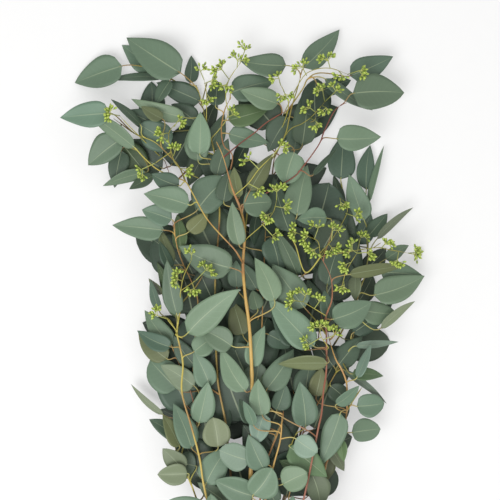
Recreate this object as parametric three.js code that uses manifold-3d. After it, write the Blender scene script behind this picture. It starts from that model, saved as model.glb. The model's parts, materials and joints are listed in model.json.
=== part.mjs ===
// A tied bunch of seeded eucalyptus lying on a table: cut stems with their leafy branches, loose sprigs,
// sprays of buds and an elastic band.
// Millimetres, +Z up. The stems run along +Y, tips away from the band, and the bunch lies on Z = 0.
// The origin is under the middle of the bunch's bounding box.
//
// The bunch is laid down from the bottom up. Each piece has its place in plan, and takes its height
// from a relief of what already lies there, so that the pieces rest on each other and never meet.
import * as THREE from "three";
import Module from "manifold-3d";

const wasm = await Module();
wasm.setup();

// ---- Driving dimensions ----
const stemRadius = 3.0; // at the cut end
const stemTipRadius = 1.3;
const stemSides = 6;
const stemStep = 32; // between the rings of a stem
const stemSlope = 0.22; // steepest rise of a stem
const twigRadius = 1.3;
const twigTipRadius = 0.9;
const twigSides = 4;
const twigStep = 22;
const twigSlope = 0.2;
const stalkRadius = 0.8; // of a leaf or of a knot of buds
const stalkStep = 21;
const stalkShortest = 6;
const stalkLean = 0.7; // least reach of a stalk, as a share of its climb
const stalkSlope = 0.9;
const bladeThickness = 0.9;
const bladeArch = 0.045; // rise of the middle of a blade, as a share of its length
const bladeCup = 0.12; // rise of the edges of a blade, as a share of half its width
const bladeBow = 0.05; // sideways bow of a blade, as a share of its length
const bladeSag = 3; // how far a blade's base may hang below its twig
const budReach = 8.5; // from the middle of a knot to the tips of its buds
const budRadius = 1.7;
const knotRadius = 1.5; // of the knot that the buds grow from
const clearance = 1.1; // between pieces that lie on each other
const cutEnd = -62; // where the stems are cut
const cutStagger = 3; // difference between the lengths of neighbouring stems
const straightUntil = 26; // the stems are parallel up to here
const fannedFrom = 90; // from here on the stems are clear of each other
const stemGap = 0.6; // between the stems in the band
const bandWidth = 9;
const bandThickness = 1.6;
const bandFit = 0.5; // between the band and the stems
const reliefCell = 2;

// ---- What lies where, in plan ----
// In laying order. A branch with a place [column, row] in the band starts at its cut end. wood holds the
// routes of its stem and twigs. under and over hold the leaves laid before and after the wood, each with
// the x and y of its base, the x and y of its tip and its width in plan. pairs grows opposite leaves
// along the first route: where the first pair and the last pair are (as shares of the route), how many
// pairs, and the leaves' length and width. knots holds the places of the knots of buds.
const plan = [
  {
    name: "branch_under_left",
    place: [-1, 0],
    wood: [[[-24, 100], [-38, 170], [-52, 240], [-60, 310], [-66, 380], [-80, 440], [-100, 500]]],
    pairs: [0.34, 0.97, 4, 72, 46],
  },
  {
    name: "branch_under_middle",
    place: [0, 0],
    wood: [[[-2, 100], [2, 170], [0, 240], [6, 310], [16, 380], [22, 440], [28, 500], [36, 548]]],
    pairs: [0.34, 0.96, 5, 72, 46],
  },
  {
    name: "branch_under_right",
    place: [1, 0],
    wood: [
      [[38, 100], [58, 180], [74, 240], [90, 272], [105, 295], [115, 315], [127, 342], [130, 362],
        [137, 380], [139, 420], [136, 455]],
      [[105, 295], [102, 340], [103, 395], [109, 413], [109, 430], [110, 460], [107, 478]],
    ],
    pairs: [0.36, 0.64, 2, 70, 44],
    over: [
      [104, 424, 74, 452, 30], [107, 440, 98, 484, 16], [106, 478, 110, 533, 33], [128, 402, 142, 438, 24],
      [136, 466, 141, 519, 23], [138, 450, 157, 518, 7], [133, 430, 115, 484, 26],
      [134, 372, 160, 398, 24], [138, 412, 160, 438, 18], [112, 404, 114, 446, 24], [128, 336, 144, 366, 24],
    ],
  },
  {
    name: "sprig_low_left",
    wood: [[[-26, 108], [-38, 180], [-46, 260], [-44, 330], [-40, 396]]],
    over: [
      [-30, 116, -46, 172, 42], [-46, 176, -64, 238, 42], [-54, 240, -90, 296, 42], [-50, 296, -28, 362, 44],
      [-66, 322, -84, 384, 38], [-30, 360, -24, 426, 42], [-44, 398, -66, 456, 40], [-64, 364, -94, 412, 32],
      [-40, 236, -44, 296, 38], [-72, 214, -100, 258, 30], [-58, 134, -76, 178, 32], [-58, 268, -70, 318, 34],
      [-76, 372, -112, 408, 30], [-34, 236, -26, 292, 32], [-84, 236, -116, 268, 24], [-44, 340, -58, 372, 22],
    ],
  },
  {
    name: "sprig_low_middle",
    wood: [[[2, 104], [4, 190], [4, 280], [12, 360], [16, 430]]],
    over: [
      [-4, 112, -20, 172, 44], [-8, 200, -30, 260, 42], [20, 176, 42, 236, 42], [26, 236, 56, 300, 44],
      [-2, 290, 10, 356, 42], [22, 372, 42, 430, 40], [-10, 424, 0, 488, 40], [12, 430, 34, 484, 36],
      [0, 262, 20, 318, 34], [10, 318, 30, 372, 34], [14, 150, 36, 200, 34], [-8, 350, -30, 398, 30],
      [-2, 248, -20, 290, 28], [2, 236, 10, 268, 20],
    ],
  },
  {
    name: "sprig_low_right",
    wood: [[[40, 104], [62, 190], [78, 280], [84, 360], [82, 410]]],
    over: [
      [42, 112, 56, 168, 40], [66, 112, 80, 158, 36], [74, 190, 98, 250, 42], [66, 300, 78, 364, 42],
      [62, 366, 66, 432, 42], [96, 356, 112, 416, 42], [74, 412, 92, 474, 40], [60, 366, 50, 424, 30],
      [86, 340, 110, 388, 32], [50, 232, 40, 284, 30], [80, 236, 104, 284, 30], [62, 226, 68, 262, 22],
      [84, 396, 104, 430, 26],
    ],
  },
  {
    name: "sprig_left_edge",
    wood: [[[-60, 196], [-68, 232], [-80, 262], [-92, 288]]],
    over: [
      [-95, 270, -130, 302, 26], [-90, 286, -122, 326, 24], [-62, 262, -88, 298, 22],
      [-100, 205, -139, 239, 10],
    ],
  },
  {
    name: "sprig_right_edge",
    wood: [[[74, 214], [96, 250], [112, 278], [122, 304]]],
    over: [
      [100, 262, 130, 296, 26], [118, 300, 166, 334, 24], [107, 259, 158, 218, 9], [115, 255, 152, 252, 14],
      [120, 286, 171, 290, 10], [92, 240, 112, 222, 22], [96, 262, 70, 294, 26],
    ],
  },
  {
    name: "sprig_top_left_low",
    wood: [[[-46, 520], [-54, 560], [-72, 582], [-97, 600], [-122, 611]]],
    over: [
      [-118, 548, -116, 594, 31], [-58, 570, -110, 592, 26], [-118, 605, -151, 637, 25],
      [-100, 597, -168, 594, 12], [-149, 610, -206, 592, 38], [-53, 534, -38, 572, 20],
      [-50, 512, -72, 470, 26], [-92, 592, -110, 564, 18],
    ],
  },
  {
    name: "sprig_top_low",
    wood: [[[32, 490], [42, 516], [52, 540], [64, 566]]],
    over: [
      [45, 550, 21, 510, 30], [60, 548, 50, 500, 26], [60, 515, 67, 588, 30], [76, 548, 78, 596, 36],
      [-4, 520, -20, 488, 16],
    ],
  },
  {
    name: "sprig_middle_low",
    wood: [[[12, 270], [14, 320], [16, 372], [18, 420]]],
    over: [
      [24, 410, 34, 368, 30], [8, 436, 5, 400, 14], [-8, 402, -32, 445, 18], [20, 300, 46, 284, 22],
      [8, 350, -12, 382, 20],
    ],
  },
  {
    name: "branch_lower_left",
    place: [-1.5, 1],
    wood: [
      [[-57, 100], [-68, 130], [-80, 155], [-88, 178]],
      [[-79, 153], [-75, 176]],
    ],
    under: [[-62, 148, -86, 152, 28], [-84, 180, -116, 201, 18]],
    over: [
      [-80, 172, -100, 207, 18], [-75, 145, -99, 171, 24], [-70, 142, -105, 141, 25],
    ],
  },
  {
    name: "branch_left",
    place: [-0.5, 1],
    wood: [
      [[-18, 100], [-28, 200], [-36, 240], [-40, 320], [-39, 380], [-36, 415], [-35, 445], [-39, 463],
        [-40, 500], [-43, 517], [-50, 540], [-54, 558], [-58, 575], [-63, 588]],
      [[-54, 565], [-50, 592]],
    ],
    under: [[-40, 480, -55, 512, 25], [-62, 545, -92, 566, 24], [-50, 510, -30, 556, 22]],
    over: [
      [-38, 480, -25, 525, 22], [-60, 498, -62, 548, 28], [-58, 505, -57, 555, 27], [-70, 590, -69, 624, 16],
      [-75, 549, -138, 571, 20], [-80, 600, -145, 645, 42],
    ],
  },
  {
    name: "branch_lower_middle",
    place: [0.5, 1],
    wood: [[[10, 100], [13, 122], [18, 153], [24, 170], [32, 190], [38, 207], [35, 228]]],
    under: [[20, 150, -8, 196, 34], [60, 145, 33, 157, 18]],
    over: [[12, 200, 14, 255, 20], [0, 200, -12, 228, 14], [30, 214, 40, 244, 22]],
  },
  {
    name: "branch_right",
    place: [1.5, 1],
    wood: [
      [[70, 100], [88, 157], [100, 178], [109, 200], [110, 240], [104, 260], [97, 272], [90, 295],
        [88, 310]],
      [[110, 208], [128, 238]],
    ],
    under: [[90, 158, 85, 128, 20], [92, 168, 108, 142, 16], [75, 228, 82, 262, 22]],
    over: [
      [103, 182, 106, 156, 12], [116, 187, 150, 190, 27], [122, 217, 154, 220, 27], [97, 221, 123, 243, 16],
      [102, 212, 79, 152, 27], [120, 252, 137, 290, 10],
    ],
  },
  {
    name: "sprig_left_middle",
    wood: [[[-62, 250], [-64, 270], [-62, 305], [-60, 340], [-68, 362], [-75, 377], [-82, 395], [-89, 430]]],
    under: [[-80, 395, -84, 437, 18], [-70, 416, -48, 440, 20]],
    over: [
      [-88, 380, -103, 421, 14], [-88, 375, -102, 406, 12], [-97, 418, -157, 424, 27],
      [-88, 430, -122, 441, 24], [-60, 441, -25, 478, 40],
    ],
  },
  {
    name: "sprig_lower_left",
    wood: [[[-52, 118], [-57, 150], [-62, 185], [-58, 215]]],
    over: [
      [-25, 105, -60, 131, 22], [-50, 130, -25, 170, 32], [-66, 170, -88, 220, 25], [-63, 240, -103, 264, 26],
      [-45, 240, -64, 280, 26], [-58, 198, -47, 247, 27], [-36, 172, -42, 206, 32],
    ],
  },
  {
    name: "sprig_lower_right",
    wood: [[[44, 112], [50, 142], [46, 172], [54, 192]]],
    over: [
      [70, 142, 80, 102, 28], [44, 175, 87, 140, 32], [63, 195, 56, 247, 30],
    ],
  },
  {
    name: "sprig_right_middle",
    wood: [[[96, 300], [104, 322], [118, 330], [126, 352], [134, 372]]],
    over: [
      [128, 327, 170, 322, 27], [149, 306, 190, 337, 12], [88, 355, 103, 402, 30], [120, 366, 119, 338, 14],
      [150, 370, 200, 366, 24], [155, 385, 182, 401, 16], [146, 408, 190, 445, 10], [141, 344, 201, 366, 32],
    ],
  },
  {
    name: "branch_seeded_left",
    place: [-1, 2],
    wood: [
      [[-45, 100], [-57, 160], [-66, 195], [-77, 235], [-76, 265], [-80, 288], [-83, 302], [-80, 322],
        [-77, 340], [-78, 375]],
      [[-76, 337], [-63, 352], [-53, 368]],
      [[-83, 302], [-92, 315], [-100, 320]],
    ],
    under: [[-90, 285, -130, 303, 20], [-85, 318, -107, 382, 18], [-100, 345, -117, 363, 10]],
    over: [[-82, 322, -93, 385, 22], [-64, 280, -38, 300, 26], [-104, 325, -114, 362, 12]],
  },
  {
    name: "branch_seeded_right",
    place: [1, 2],
    wood: [
      [[55, 100], [65, 140], [77, 200], [80, 212], [83, 240], [86, 258], [86, 300], [85, 320], [92, 340],
        [91, 365], [80, 388]],
      [[80, 386], [63, 370], [52, 400], [46, 412], [48, 420], [53, 434]],
      [[86, 302], [75, 315], [62, 330]],
    ],
    under: [[55, 365, 30, 418, 18], [80, 330, 66, 362, 18], [92, 318, 84, 350, 18], [18, 238, 50, 283, 28]],
    over: [
      [87, 269, 31, 267, 18], [50, 288, 22, 335, 28], [92, 318, 138, 337, 32], [111, 368, 178, 378, 15],
      [88, 432, 53, 430, 22], [45, 416, 27, 480, 27], [53, 434, 66, 493, 30], [62, 330, 25, 380, 36],
      [72, 287, 21, 341, 34],
    ],
  },
  {
    name: "sprig_top_middle",
    wood: [[[-20, 500], [-30, 515], [-33, 535], [-29, 558], [-22, 572]]],
    over: [
      [-25, 530, 22, 520, 24], [-25, 545, 22, 560, 28], [-40, 562, -38, 592, 22], [-22, 577, 28, 592, 32],
    ],
  },
  {
    name: "branch_middle",
    place: [0, 2],
    wood: [
      [[-1, 100], [2, 170], [2, 260], [0, 300], [-2, 320], [-6, 350], [-8, 380], [-6, 413], [-10, 440],
        [-20, 465], [-30, 500], [-38, 518]],
      [[-6, 413], [0, 462], [6, 478], [25, 500], [40, 527], [48, 560], [57, 590], [60, 605]],
      [[-30, 500], [-12, 517], [5, 530], [20, 543], [43, 557]],
    ],
    under: [
      [-30, 450, -22, 488, 22], [-12, 455, -18, 490, 16], [-15, 352, -16, 384, 20], [-8, 298, -20, 337, 24],
      [9, 328, 3, 350, 18], [2, 263, 17, 310, 22],
    ],
    over: [
      [-8, 447, 25, 450, 30], [-12, 400, -20, 450, 20], [28, 338, 5, 387, 26], [0, 462, 26, 505, 20],
      [50, 506, 40, 470, 34], [33, 565, -12, 580, 26], [42, 610, -12, 615, 29], [62, 606, 105, 654, 27],
      [-5, 237, -33, 285, 25], [-20, 287, -56, 306, 28], [-20, 375, -81, 400, 37],
    ],
  },
  {
    name: "sprig_seeded_left",
    wood: [[[-84, 300], [-76, 296]]],
    over: [[-71, 301, -11, 352, 33]],
  },
  {
    name: "sprig_upper_left",
    wood: [
      [[-12, 388], [-18, 397], [-35, 415], [-50, 433], [-65, 460], [-73, 473], [-85, 478], [-105, 487],
        [-120, 500], [-133, 513], [-142, 518]],
      [[-73, 473], [-82, 492], [-110, 520], [-130, 528], [-157, 547]],
    ],
    under: [
      [-148, 518, -117, 480, 30], [-150, 512, -158, 468, 24], [-120, 486, -171, 470, 14],
      [-112, 482, -140, 466, 15], [-102, 535, -148, 557, 25],
      [-92, 515, -128, 540, 35], [-100, 546, -125, 561, 16],
    ],
    over: [
      [-80, 468, -112, 482, 22], [-148, 522, -186, 493, 32], [-131, 512, -187, 554, 18], [-125, 538, -161, 570, 10],
      [-158, 550, -216, 546, 30], [-68, 446, -120, 459, 30],
    ],
  },
  {
    name: "sprig_top_right",
    wood: [
      [[60, 580], [66, 592], [80, 600], [112, 597]],
    ],
    over: [[85, 580, 117, 592, 18], [85, 591, 142, 557, 16], [115, 596, 166, 620, 28]],
  },
  {
    name: "sprig_right_red",
    wood: [[[45, 475], [60, 490], [78, 515], [84, 530], [97, 555], [110, 563]]],
    over: [[71, 480, 100, 512, 7], [98, 522, 150, 525, 30], [117, 574, 178, 577, 42]],
  },
  {
    name: "sprig_front_middle",
    wood: [[[14, 96], [20, 126], [27, 156], [34, 184], [36, 212]]],
    under: [[5, 118, -40, 136, 32], [30, 108, 18, 132, 22]],
    over: [
      [3, 120, 25, 152, 34], [36, 133, 64, 148, 30], [51, 185, 75, 170, 26], [0, 160, -35, 170, 32],
      [16, 212, 7, 178, 24], [14, 210, 9, 252, 24], [4, 200, -8, 228, 13], [16, 150, -2, 190, 26],
    ],
  },
  {
    name: "sprig_front_left",
    wood: [[[-16, 52], [-34, 78], [-52, 96]]],
    over: [[-30, 66, -64, 72, 30], [-22, 60, -10, 100, 30], [-50, 92, -92, 112, 30], [-40, 84, -44, 122, 26]],
  },
  {
    name: "sprig_front_right",
    wood: [[[14, 46], [34, 72], [56, 92]]],
    over: [[30, 62, 66, 66, 30], [20, 54, 14, 98, 32], [56, 90, 98, 104, 30], [40, 78, 48, 122, 28]],
  },
  {
    name: "buds_left_fork",
    wood: [[[-80, 489], [-90, 508], [-93, 530], [-82, 544]], [[-90, 508], [-108, 494]]],
    knots: [[-72, 487], [-85, 508], [-98, 528], [-82, 543], [-122, 487]],
  },
  {
    name: "buds_far_left",
    wood: [[[-134, 533], [-148, 548]]],
    knots: [[-156, 548]],
  },
  {
    name: "buds_top_left",
    wood: [[[-50, 552], [-50, 575], [-53, 592]]],
    knots: [[-47, 571], [-45, 589], [-57, 601]],
  },
  {
    name: "buds_top_middle",
    wood: [[[-26, 548], [-28, 572], [-24, 592], [-12, 610]]],
    knots: [[-20, 550], [-27, 585], [-32, 600], [-14, 612], [-6, 625]],
  },
  {
    name: "buds_top_fork",
    wood: [[[44, 558], [40, 576], [34, 590]]],
    knots: [[40, 574], [33, 593]],
  },
  {
    name: "buds_top_right",
    wood: [[[58, 590], [72, 602], [92, 604], [112, 597]]],
    knots: [[60, 604], [89, 611], [104, 596], [124, 599]],
  },
  {
    name: "buds_right_fork",
    wood: [[[44, 532], [60, 541], [72, 550], [86, 566]]],
    knots: [[75, 540], [69, 558], [86, 556], [82, 576], [97, 575]],
  },
  {
    name: "buds_middle_fork",
    wood: [[[-2, 470], [10, 486], [24, 500]]],
    knots: [[0, 496], [33, 511], [9, 464]],
  },
  {
    name: "buds_middle",
    wood: [[[-2, 410], [14, 424], [26, 438], [30, 452]]],
    knots: [[25, 412], [20, 435], [37, 443], [30, 461]],
  },
  {
    name: "buds_right_middle",
    wood: [[[79, 392], [76, 406], [62, 412]], [[79, 392], [92, 406]]],
    knots: [[72, 396], [92, 398], [52, 415], [65, 411], [77, 420], [93, 418]],
  },
  {
    name: "buds_right_red",
    wood: [[[108, 430], [112, 446], [104, 456]]],
    knots: [[120, 434], [104, 450]],
  },
  {
    name: "buds_left_seeded",
    wood: [[[-78, 345], [-74, 366], [-66, 384]], [[-76, 352], [-60, 362]]],
    knots: [[-80, 363], [-65, 390], [-50, 373], [-62, 353]],
  },
  {
    name: "buds_left_edge",
    wood: [[[-84, 306], [-94, 318]]],
    knots: [[-104, 322]],
  },
  {
    name: "buds_seeded_middle",
    wood: [[[85, 322], [72, 330], [60, 337]]],
    knots: [[50, 339], [62, 344], [77, 338]],
  },
  {
    name: "buds_seeded_low",
    wood: [[[88, 286], [80, 298], [78, 306]]],
    knots: [[66, 290], [78, 309], [94, 301]],
  },
  {
    name: "buds_right_edge",
    wood: [[[102, 352], [108, 372], [120, 392]]],
    knots: [[105, 356], [108, 380], [114, 396], [130, 393], [127, 410]],
  },
  {
    name: "buds_far_right",
    wood: [[[140, 398], [158, 396], [180, 392]], [[140, 398], [150, 404]]],
    knots: [[152, 402], [166, 385], [184, 391], [194, 393]],
  },
];

// ---- Variation ----
let seed = 20260;
const random = () => {
  seed = (seed * 16807) % 2147483647;
  return seed / 2147483647;
};
const between = (low, high) => low + (high - low) * random();

// ---- Relief of what already lies on the table ----
const reliefWest = -300.37;
const reliefSouth = -99.41;
const reliefColumns = 300;
const reliefRows = 400;
const relief = new Float64Array(reliefColumns * reliefRows).fill(-clearance);
const cellAt = (x, y) => [Math.floor((x - reliefWest) / reliefCell), Math.floor((y - reliefSouth) / reliefCell)];
const topAt = (x, y) => {
  const [column, row] = cellAt(x, y);
  return relief[row * reliefColumns + column];
};
const raise = (x, y, height) => {
  const [column, row] = cellAt(x, y);
  for (let across = column - 1; across <= column + 1; across += 1) {
    for (let along = row - 1; along <= row + 1; along += 1) {
      const cell = along * reliefColumns + across;
      relief[cell] = Math.max(relief[cell], height);
    }
  }
};

// ---- Points and directions ----
const spread = (a, b) => Math.sqrt((b[0] - a[0]) ** 2 + (b[1] - a[1]) ** 2);
const mix = (a, b, share) => a.map((value, axis) => value + (b[axis] - value) * share);
const heading = (a, b) => {
  const length = spread(a, b) || 1;
  return [(b[0] - a[0]) / length, (b[1] - a[1]) / length];
};

// A smooth way through the points of a route, with a point at about every step.
function smoothWay(points, step) {
  const way = [points[0]];
  for (let i = 0; i < points.length - 1; i += 1) {
    const before = points[Math.max(i - 1, 0)];
    const from = points[i];
    const to = points[i + 1];
    const after = points[Math.min(i + 2, points.length - 1)];
    const parts = Math.max(1, Math.floor(spread(from, to) / step + 0.5));
    for (let k = 1; k <= parts; k += 1) {
      const t = k / parts;
      way.push(from.map((value, axis) => {
        const pull = to[axis] - before[axis];
        const push = after[axis] - value;
        const rise = to[axis] - value;
        return value + t * (pull / 2 + t * (3 * rise - pull - push / 2 + t * (pull / 2 + push / 2 - 2 * rise)));
      }));
    }
  }
  return way;
}

// ---- Stems in the band ----
const stemPitch = 2 * stemRadius + stemGap;
const rowRise = stemPitch * Math.sqrt(3) / 2;
const rowHeight = (row) => bandThickness + bandFit + stemRadius + row * rowRise;
const laidStems = [];

// Height that a stem needs over the stems already laid in the band and in front of the fan.
function heightOverStems(x, y) {
  let height = -Infinity;
  for (const stem of laidStems) {
    for (let i = 0; i < stem.length - 1; i += 1) {
      const [from, to] = [stem[i], stem[i + 1]];
      if (y < from[1] || y > to[1]) continue;
      const at = mix(from, to, (y - from[1]) / (to[1] - from[1]));
      const apart = Math.abs(at[0] - x);
      if (apart < stemPitch) {
        height = Math.max(height, at[2] + Math.sqrt(stemPitch ** 2 - apart ** 2) - 0.001);
      }
    }
  }
  return height;
}

// ---- Laying wood ----
// Greatest height that a round piece needs between two points of its way.
function heightBetween(a, b, radius, row) {
  const parts = Math.ceil(spread(a, b) / reliefCell) || 1;
  const [dx, dy] = heading(a, b);
  let height = -Infinity;
  for (let k = 0; k <= parts; k += 1) {
    const [x, y] = mix(a, b, k / parts);
    if (row !== undefined && y < fannedFrom) {
      height = Math.max(height, heightOverStems(x, y), rowHeight(row));
      continue;
    }
    for (const side of [-radius, 0, radius]) {
      height = Math.max(height, topAt(x - dy * side, y + dx * side) + clearance + radius);
    }
  }
  return height;
}

// Gives every point of a way its height, so that the wood clears the relief and rises no steeper than
// slope. A first height that is already known is kept.
function layWay(way, radius, slope, row, firstHeight) {
  const heights = way.map((point, i) => {
    const behind = i > 0 ? heightBetween(way[i - 1], point, radius, row) : -Infinity;
    const ahead = i < way.length - 1 ? heightBetween(point, way[i + 1], radius, row) : -Infinity;
    return Math.max(behind, ahead);
  });
  for (let i = 1; i < way.length; i += 1) {
    heights[i] = Math.max(heights[i], heights[i - 1] - slope * spread(way[i - 1], way[i]));
  }
  for (let i = way.length - 2; i >= 0; i -= 1) {
    heights[i] = Math.max(heights[i], heights[i + 1] - slope * spread(way[i], way[i + 1]));
  }
  if (firstHeight !== undefined) heights[0] = firstHeight;
  if (row !== undefined) {
    way.forEach(([, y], i) => {
      if (y <= straightUntil) heights[i] = rowHeight(row);
    });
  }
  return way.map(([x, y], i) => [x, y, heights[i]]);
}

function raiseAlong(way, radius) {
  for (let i = 0; i < way.length - 1; i += 1) {
    const [dx, dy] = heading(way[i], way[i + 1]);
    const parts = Math.ceil(spread(way[i], way[i + 1]) / reliefCell) || 1;
    for (let k = 0; k <= parts; k += 1) {
      const [x, y, z] = mix(way[i], way[i + 1], k / parts);
      for (const side of [-radius, 0, radius]) raise(x - dy * side, y + dx * side, z + radius);
    }
  }
}

// The point of the laid wood that a stalk grows from: near the base, and behind the blade.
function rootFor(base, forward, ways, shortest = stalkShortest) {
  let best = null;
  let least = Infinity;
  for (const way of ways) {
    for (let i = 0; i < way.length - 1; i += 1) {
      for (let k = 0; k <= 4; k += 1) {
        const point = mix(way[i], way[i + 1], k / 4);
        const ahead = (point[0] - base[0]) * forward[0] + (point[1] - base[1]) * forward[1];
        const cost = Math.abs(spread(base, point) - shortest) + Math.max(0, ahead);
        if (cost < least) {
          least = cost;
          best = point;
        }
      }
    }
  }
  return best;
}

// ---- Laying leaves ----
// Half the width of a blade at a share of its length, as a share of half its greatest width.
const outline = (share) => Math.sin(Math.PI * share ** 0.8) ** 0.55;

const slopesTried = [-0.26, -0.13, 0, 0.13, 0.26];
const narrowBlade = 20; // a blade narrower than this in plan stands on its edge
const fullWidth = 30;
const uprightShare = 0.35; // how much of the missing width such a blade has upright
const slopeCost = 6; // height that a blade gives up to keep its own slope

// A blade as a height field over its outline in plan, resting on the relief. stemHeight is the height of
// the wood that holds it, if it is laid over that wood.
function layBlade([baseX, baseY, tipX, tipY, width], woodPoint) {
  const base = [baseX, baseY];
  const tip = [tipX, tipY];
  const [dx, dy] = heading(base, tip);
  const length = spread(base, tip);
  const bow = between(-bladeBow, bladeBow) * length;
  const ownAlong = between(-0.12, 0.06);
  const ownAcross = between(-0.1, 0.1);
  const side = random() < 0.5 ? -1 : 1;
  const missing = Math.max(0, narrowBlade - width) / narrowBlade;
  const trueWidth = width + (fullWidth - width) * uprightShare;
  const edgeSlope = missing > 0 ? side * Math.sqrt((trueWidth / width) ** 2 - 1) : 0;
  const half = (u) => outline(u) * width / 2;
  const place = (u, v) => {
    const along = u * length;
    const across = v * half(u) + bow * 4 * u * (1 - u);
    return [baseX + dx * along - dy * across, baseY + dy * along + dx * across];
  };
  const rise = (u, v, alongSlope, acrossSlope) => (u - 0.5) * length * alongSlope
    + v * half(u) * acrossSlope + bladeArch * length * 4 * u * (1 - u) + bladeCup * half(u) * v * v;
  const samples = [];
  const rows = Math.ceil(length / (0.9 * reliefCell));
  const columns = Math.ceil(width / (0.9 * reliefCell));
  for (let i = 0; i <= rows; i += 1) {
    for (let j = 0; j <= columns; j += 1) {
      const u = i / rows;
      const v = 2 * j / columns - 1;
      const [x, y] = place(u, v);
      samples.push([u, v, x, y, topAt(x, y) + clearance]);
    }
  }
  let best = null;
  for (const alongStep of slopesTried) {
    for (const acrossStep of slopesTried) {
      const alongSlope = ownAlong + alongStep;
      const acrossSlope = edgeSlope === 0 ? ownAcross + acrossStep : edgeSlope * (1 + acrossStep);
      const thickness = bladeThickness * Math.sqrt(1 + alongSlope ** 2 + acrossSlope ** 2);
      let height = -Infinity;
      for (const [u, v, , , top] of samples) {
        height = Math.max(height, top - rise(u, v, alongSlope, acrossSlope));
      }
      height += thickness / 2;
      if (woodPoint) {
        const hang = bladeSag + 0.15 * spread(base, woodPoint);
        height = Math.max(height, woodPoint[2] - hang + alongSlope * length / 2);
      }
      const cost = height + slopeCost * (Math.abs(alongStep) + Math.abs(acrossStep));
      if (best === null || cost < best.cost) best = { cost, height, alongSlope, acrossSlope, thickness };
    }
  }
  const blade = {
    base, tip, length, half, place, thickness: best.thickness, heading: [dx, dy],
    heightAt: (u, v) => best.height + rise(u, v, best.alongSlope, best.acrossSlope),
  };
  for (const [u, v, x, y] of samples) raise(x, y, blade.heightAt(u, v) + best.thickness / 2);
  return blade;
}

// The way of a stalk, from its root to where the blade or the knot starts.
function layStalk(root, end, forward) {
  const reach = spread(root, end);
  const bend = [end[0] - forward[0] * reach * 0.4, end[1] - forward[1] * reach * 0.4];
  const parts = Math.max(1, Math.floor(reach / stalkStep + 0.5));
  const way = [root];
  for (let k = 1; k < parts; k += 1) {
    const t = k / parts;
    const [x, y] = mix(mix(root, bend, t), mix(bend, end, t), t);
    const straight = root[2] + (end[2] - root[2]) * t;
    way.push([x, y, Math.max(straight, topAt(x, y) + clearance + stalkRadius)]);
  }
  way.push(end);
  raiseAlong(way, stalkRadius);
  return way;
}

// ---- Solids ----
const geometryOf = (points, faces) => {
  const geometry = new THREE.BufferGeometry();
  geometry.setAttribute("position", new THREE.Float32BufferAttribute(points.flat(), 3));
  geometry.setIndex(faces.flat());
  return geometry;
};
const solidOf = (geometry) => new wasm.Manifold(new wasm.Mesh({
  numProp: 3,
  vertProperties: new Float32Array(geometry.attributes.position.array),
  triVerts: new Uint32Array(geometry.index.array),
}));

// Faces between rings of the same number of points, each ring clockwise when seen along its way.
function ringFaces(rings, sides) {
  const faces = [];
  for (let ring = 0; ring < rings - 1; ring += 1) {
    for (let i = 0; i < sides; i += 1) {
      const a = ring * sides + i;
      const b = ring * sides + (i + 1) % sides;
      faces.push([a, b + sides, b], [a, a + sides, b + sides]);
    }
  }
  return faces;
}
const fan = (first, sides, turned) => Array.from({ length: sides - 2 }, (_, i) => (
  turned ? [first, first + i + 1, first + i + 2] : [first, first + i + 2, first + i + 1]));

// A round bar along a way.
function bar(way, startRadius, endRadius, sides) {
  const points = [];
  way.forEach((point, i) => {
    const before = new THREE.Vector3(...way[Math.max(i - 1, 0)]);
    const after = new THREE.Vector3(...way[Math.min(i + 1, way.length - 1)]);
    const forward = after.sub(before).normalize();
    const right = new THREE.Vector3(forward.y, -forward.x, 0).normalize();
    const up = new THREE.Vector3().crossVectors(right, forward);
    const radius = startRadius + (endRadius - startRadius) * i / (way.length - 1);
    for (let k = 0; k < sides; k += 1) {
      const angle = 2 * Math.PI * (k + 0.5) / sides;
      const corner = new THREE.Vector3(...point)
        .addScaledVector(right, radius * Math.cos(angle))
        .addScaledVector(up, radius * Math.sin(angle));
      points.push(corner.toArray());
    }
  });
  const last = (way.length - 1) * sides;
  return geometryOf(points, [...ringFaces(way.length, sides), ...fan(0, sides, true), ...fan(last, sides, false)]);
}

// A leaf in one piece: its stalk, its blade's three rings and its tip.
const bladeRings = [0.18, 0.48, 0.8];
function leaf(blade, stalk) {
  const points = [];
  const firstMiddle = [...blade.place(bladeRings[0], 0), blade.heightAt(bladeRings[0], 0)];
  stalk.forEach((point, i) => {
    const [dx, dy] = i < stalk.length - 1 ? heading(point, stalk[i + 1]) : blade.heading;
    const behind = new THREE.Vector3(...stalk[Math.max(i - 1, 0)]);
    const way = new THREE.Vector3(...(stalk[i + 1] ?? firstMiddle)).sub(behind).normalize();
    const right = new THREE.Vector3(dy, -dx, 0);
    const up = new THREE.Vector3().crossVectors(right, way).normalize();
    for (const [direction, off] of [[right, 1], [up, 1], [right, -1], [up, -1]]) {
      points.push(new THREE.Vector3(...point).addScaledVector(direction, off * stalkRadius).toArray());
    }
  });
  for (const u of bladeRings) {
    const middle = blade.heightAt(u, 0);
    points.push(
      [...blade.place(u, -1), blade.heightAt(u, -1)],
      [...blade.place(u, 0), middle + blade.thickness / 2],
      [...blade.place(u, 1), blade.heightAt(u, 1)],
      [...blade.place(u, 0), middle - blade.thickness / 2],
    );
  }
  const rings = stalk.length + bladeRings.length;
  const last = (rings - 1) * 4;
  const tip = points.length;
  points.push([...blade.place(1, 0), blade.heightAt(1, 0)]);
  const tipFaces = [0, 1, 2, 3].map((i) => [last + i, tip, last + (i + 1) % 4]);
  return geometryOf(points, [...ringFaces(rings, 4), ...fan(0, 4, true), ...tipFaces]);
}

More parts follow.
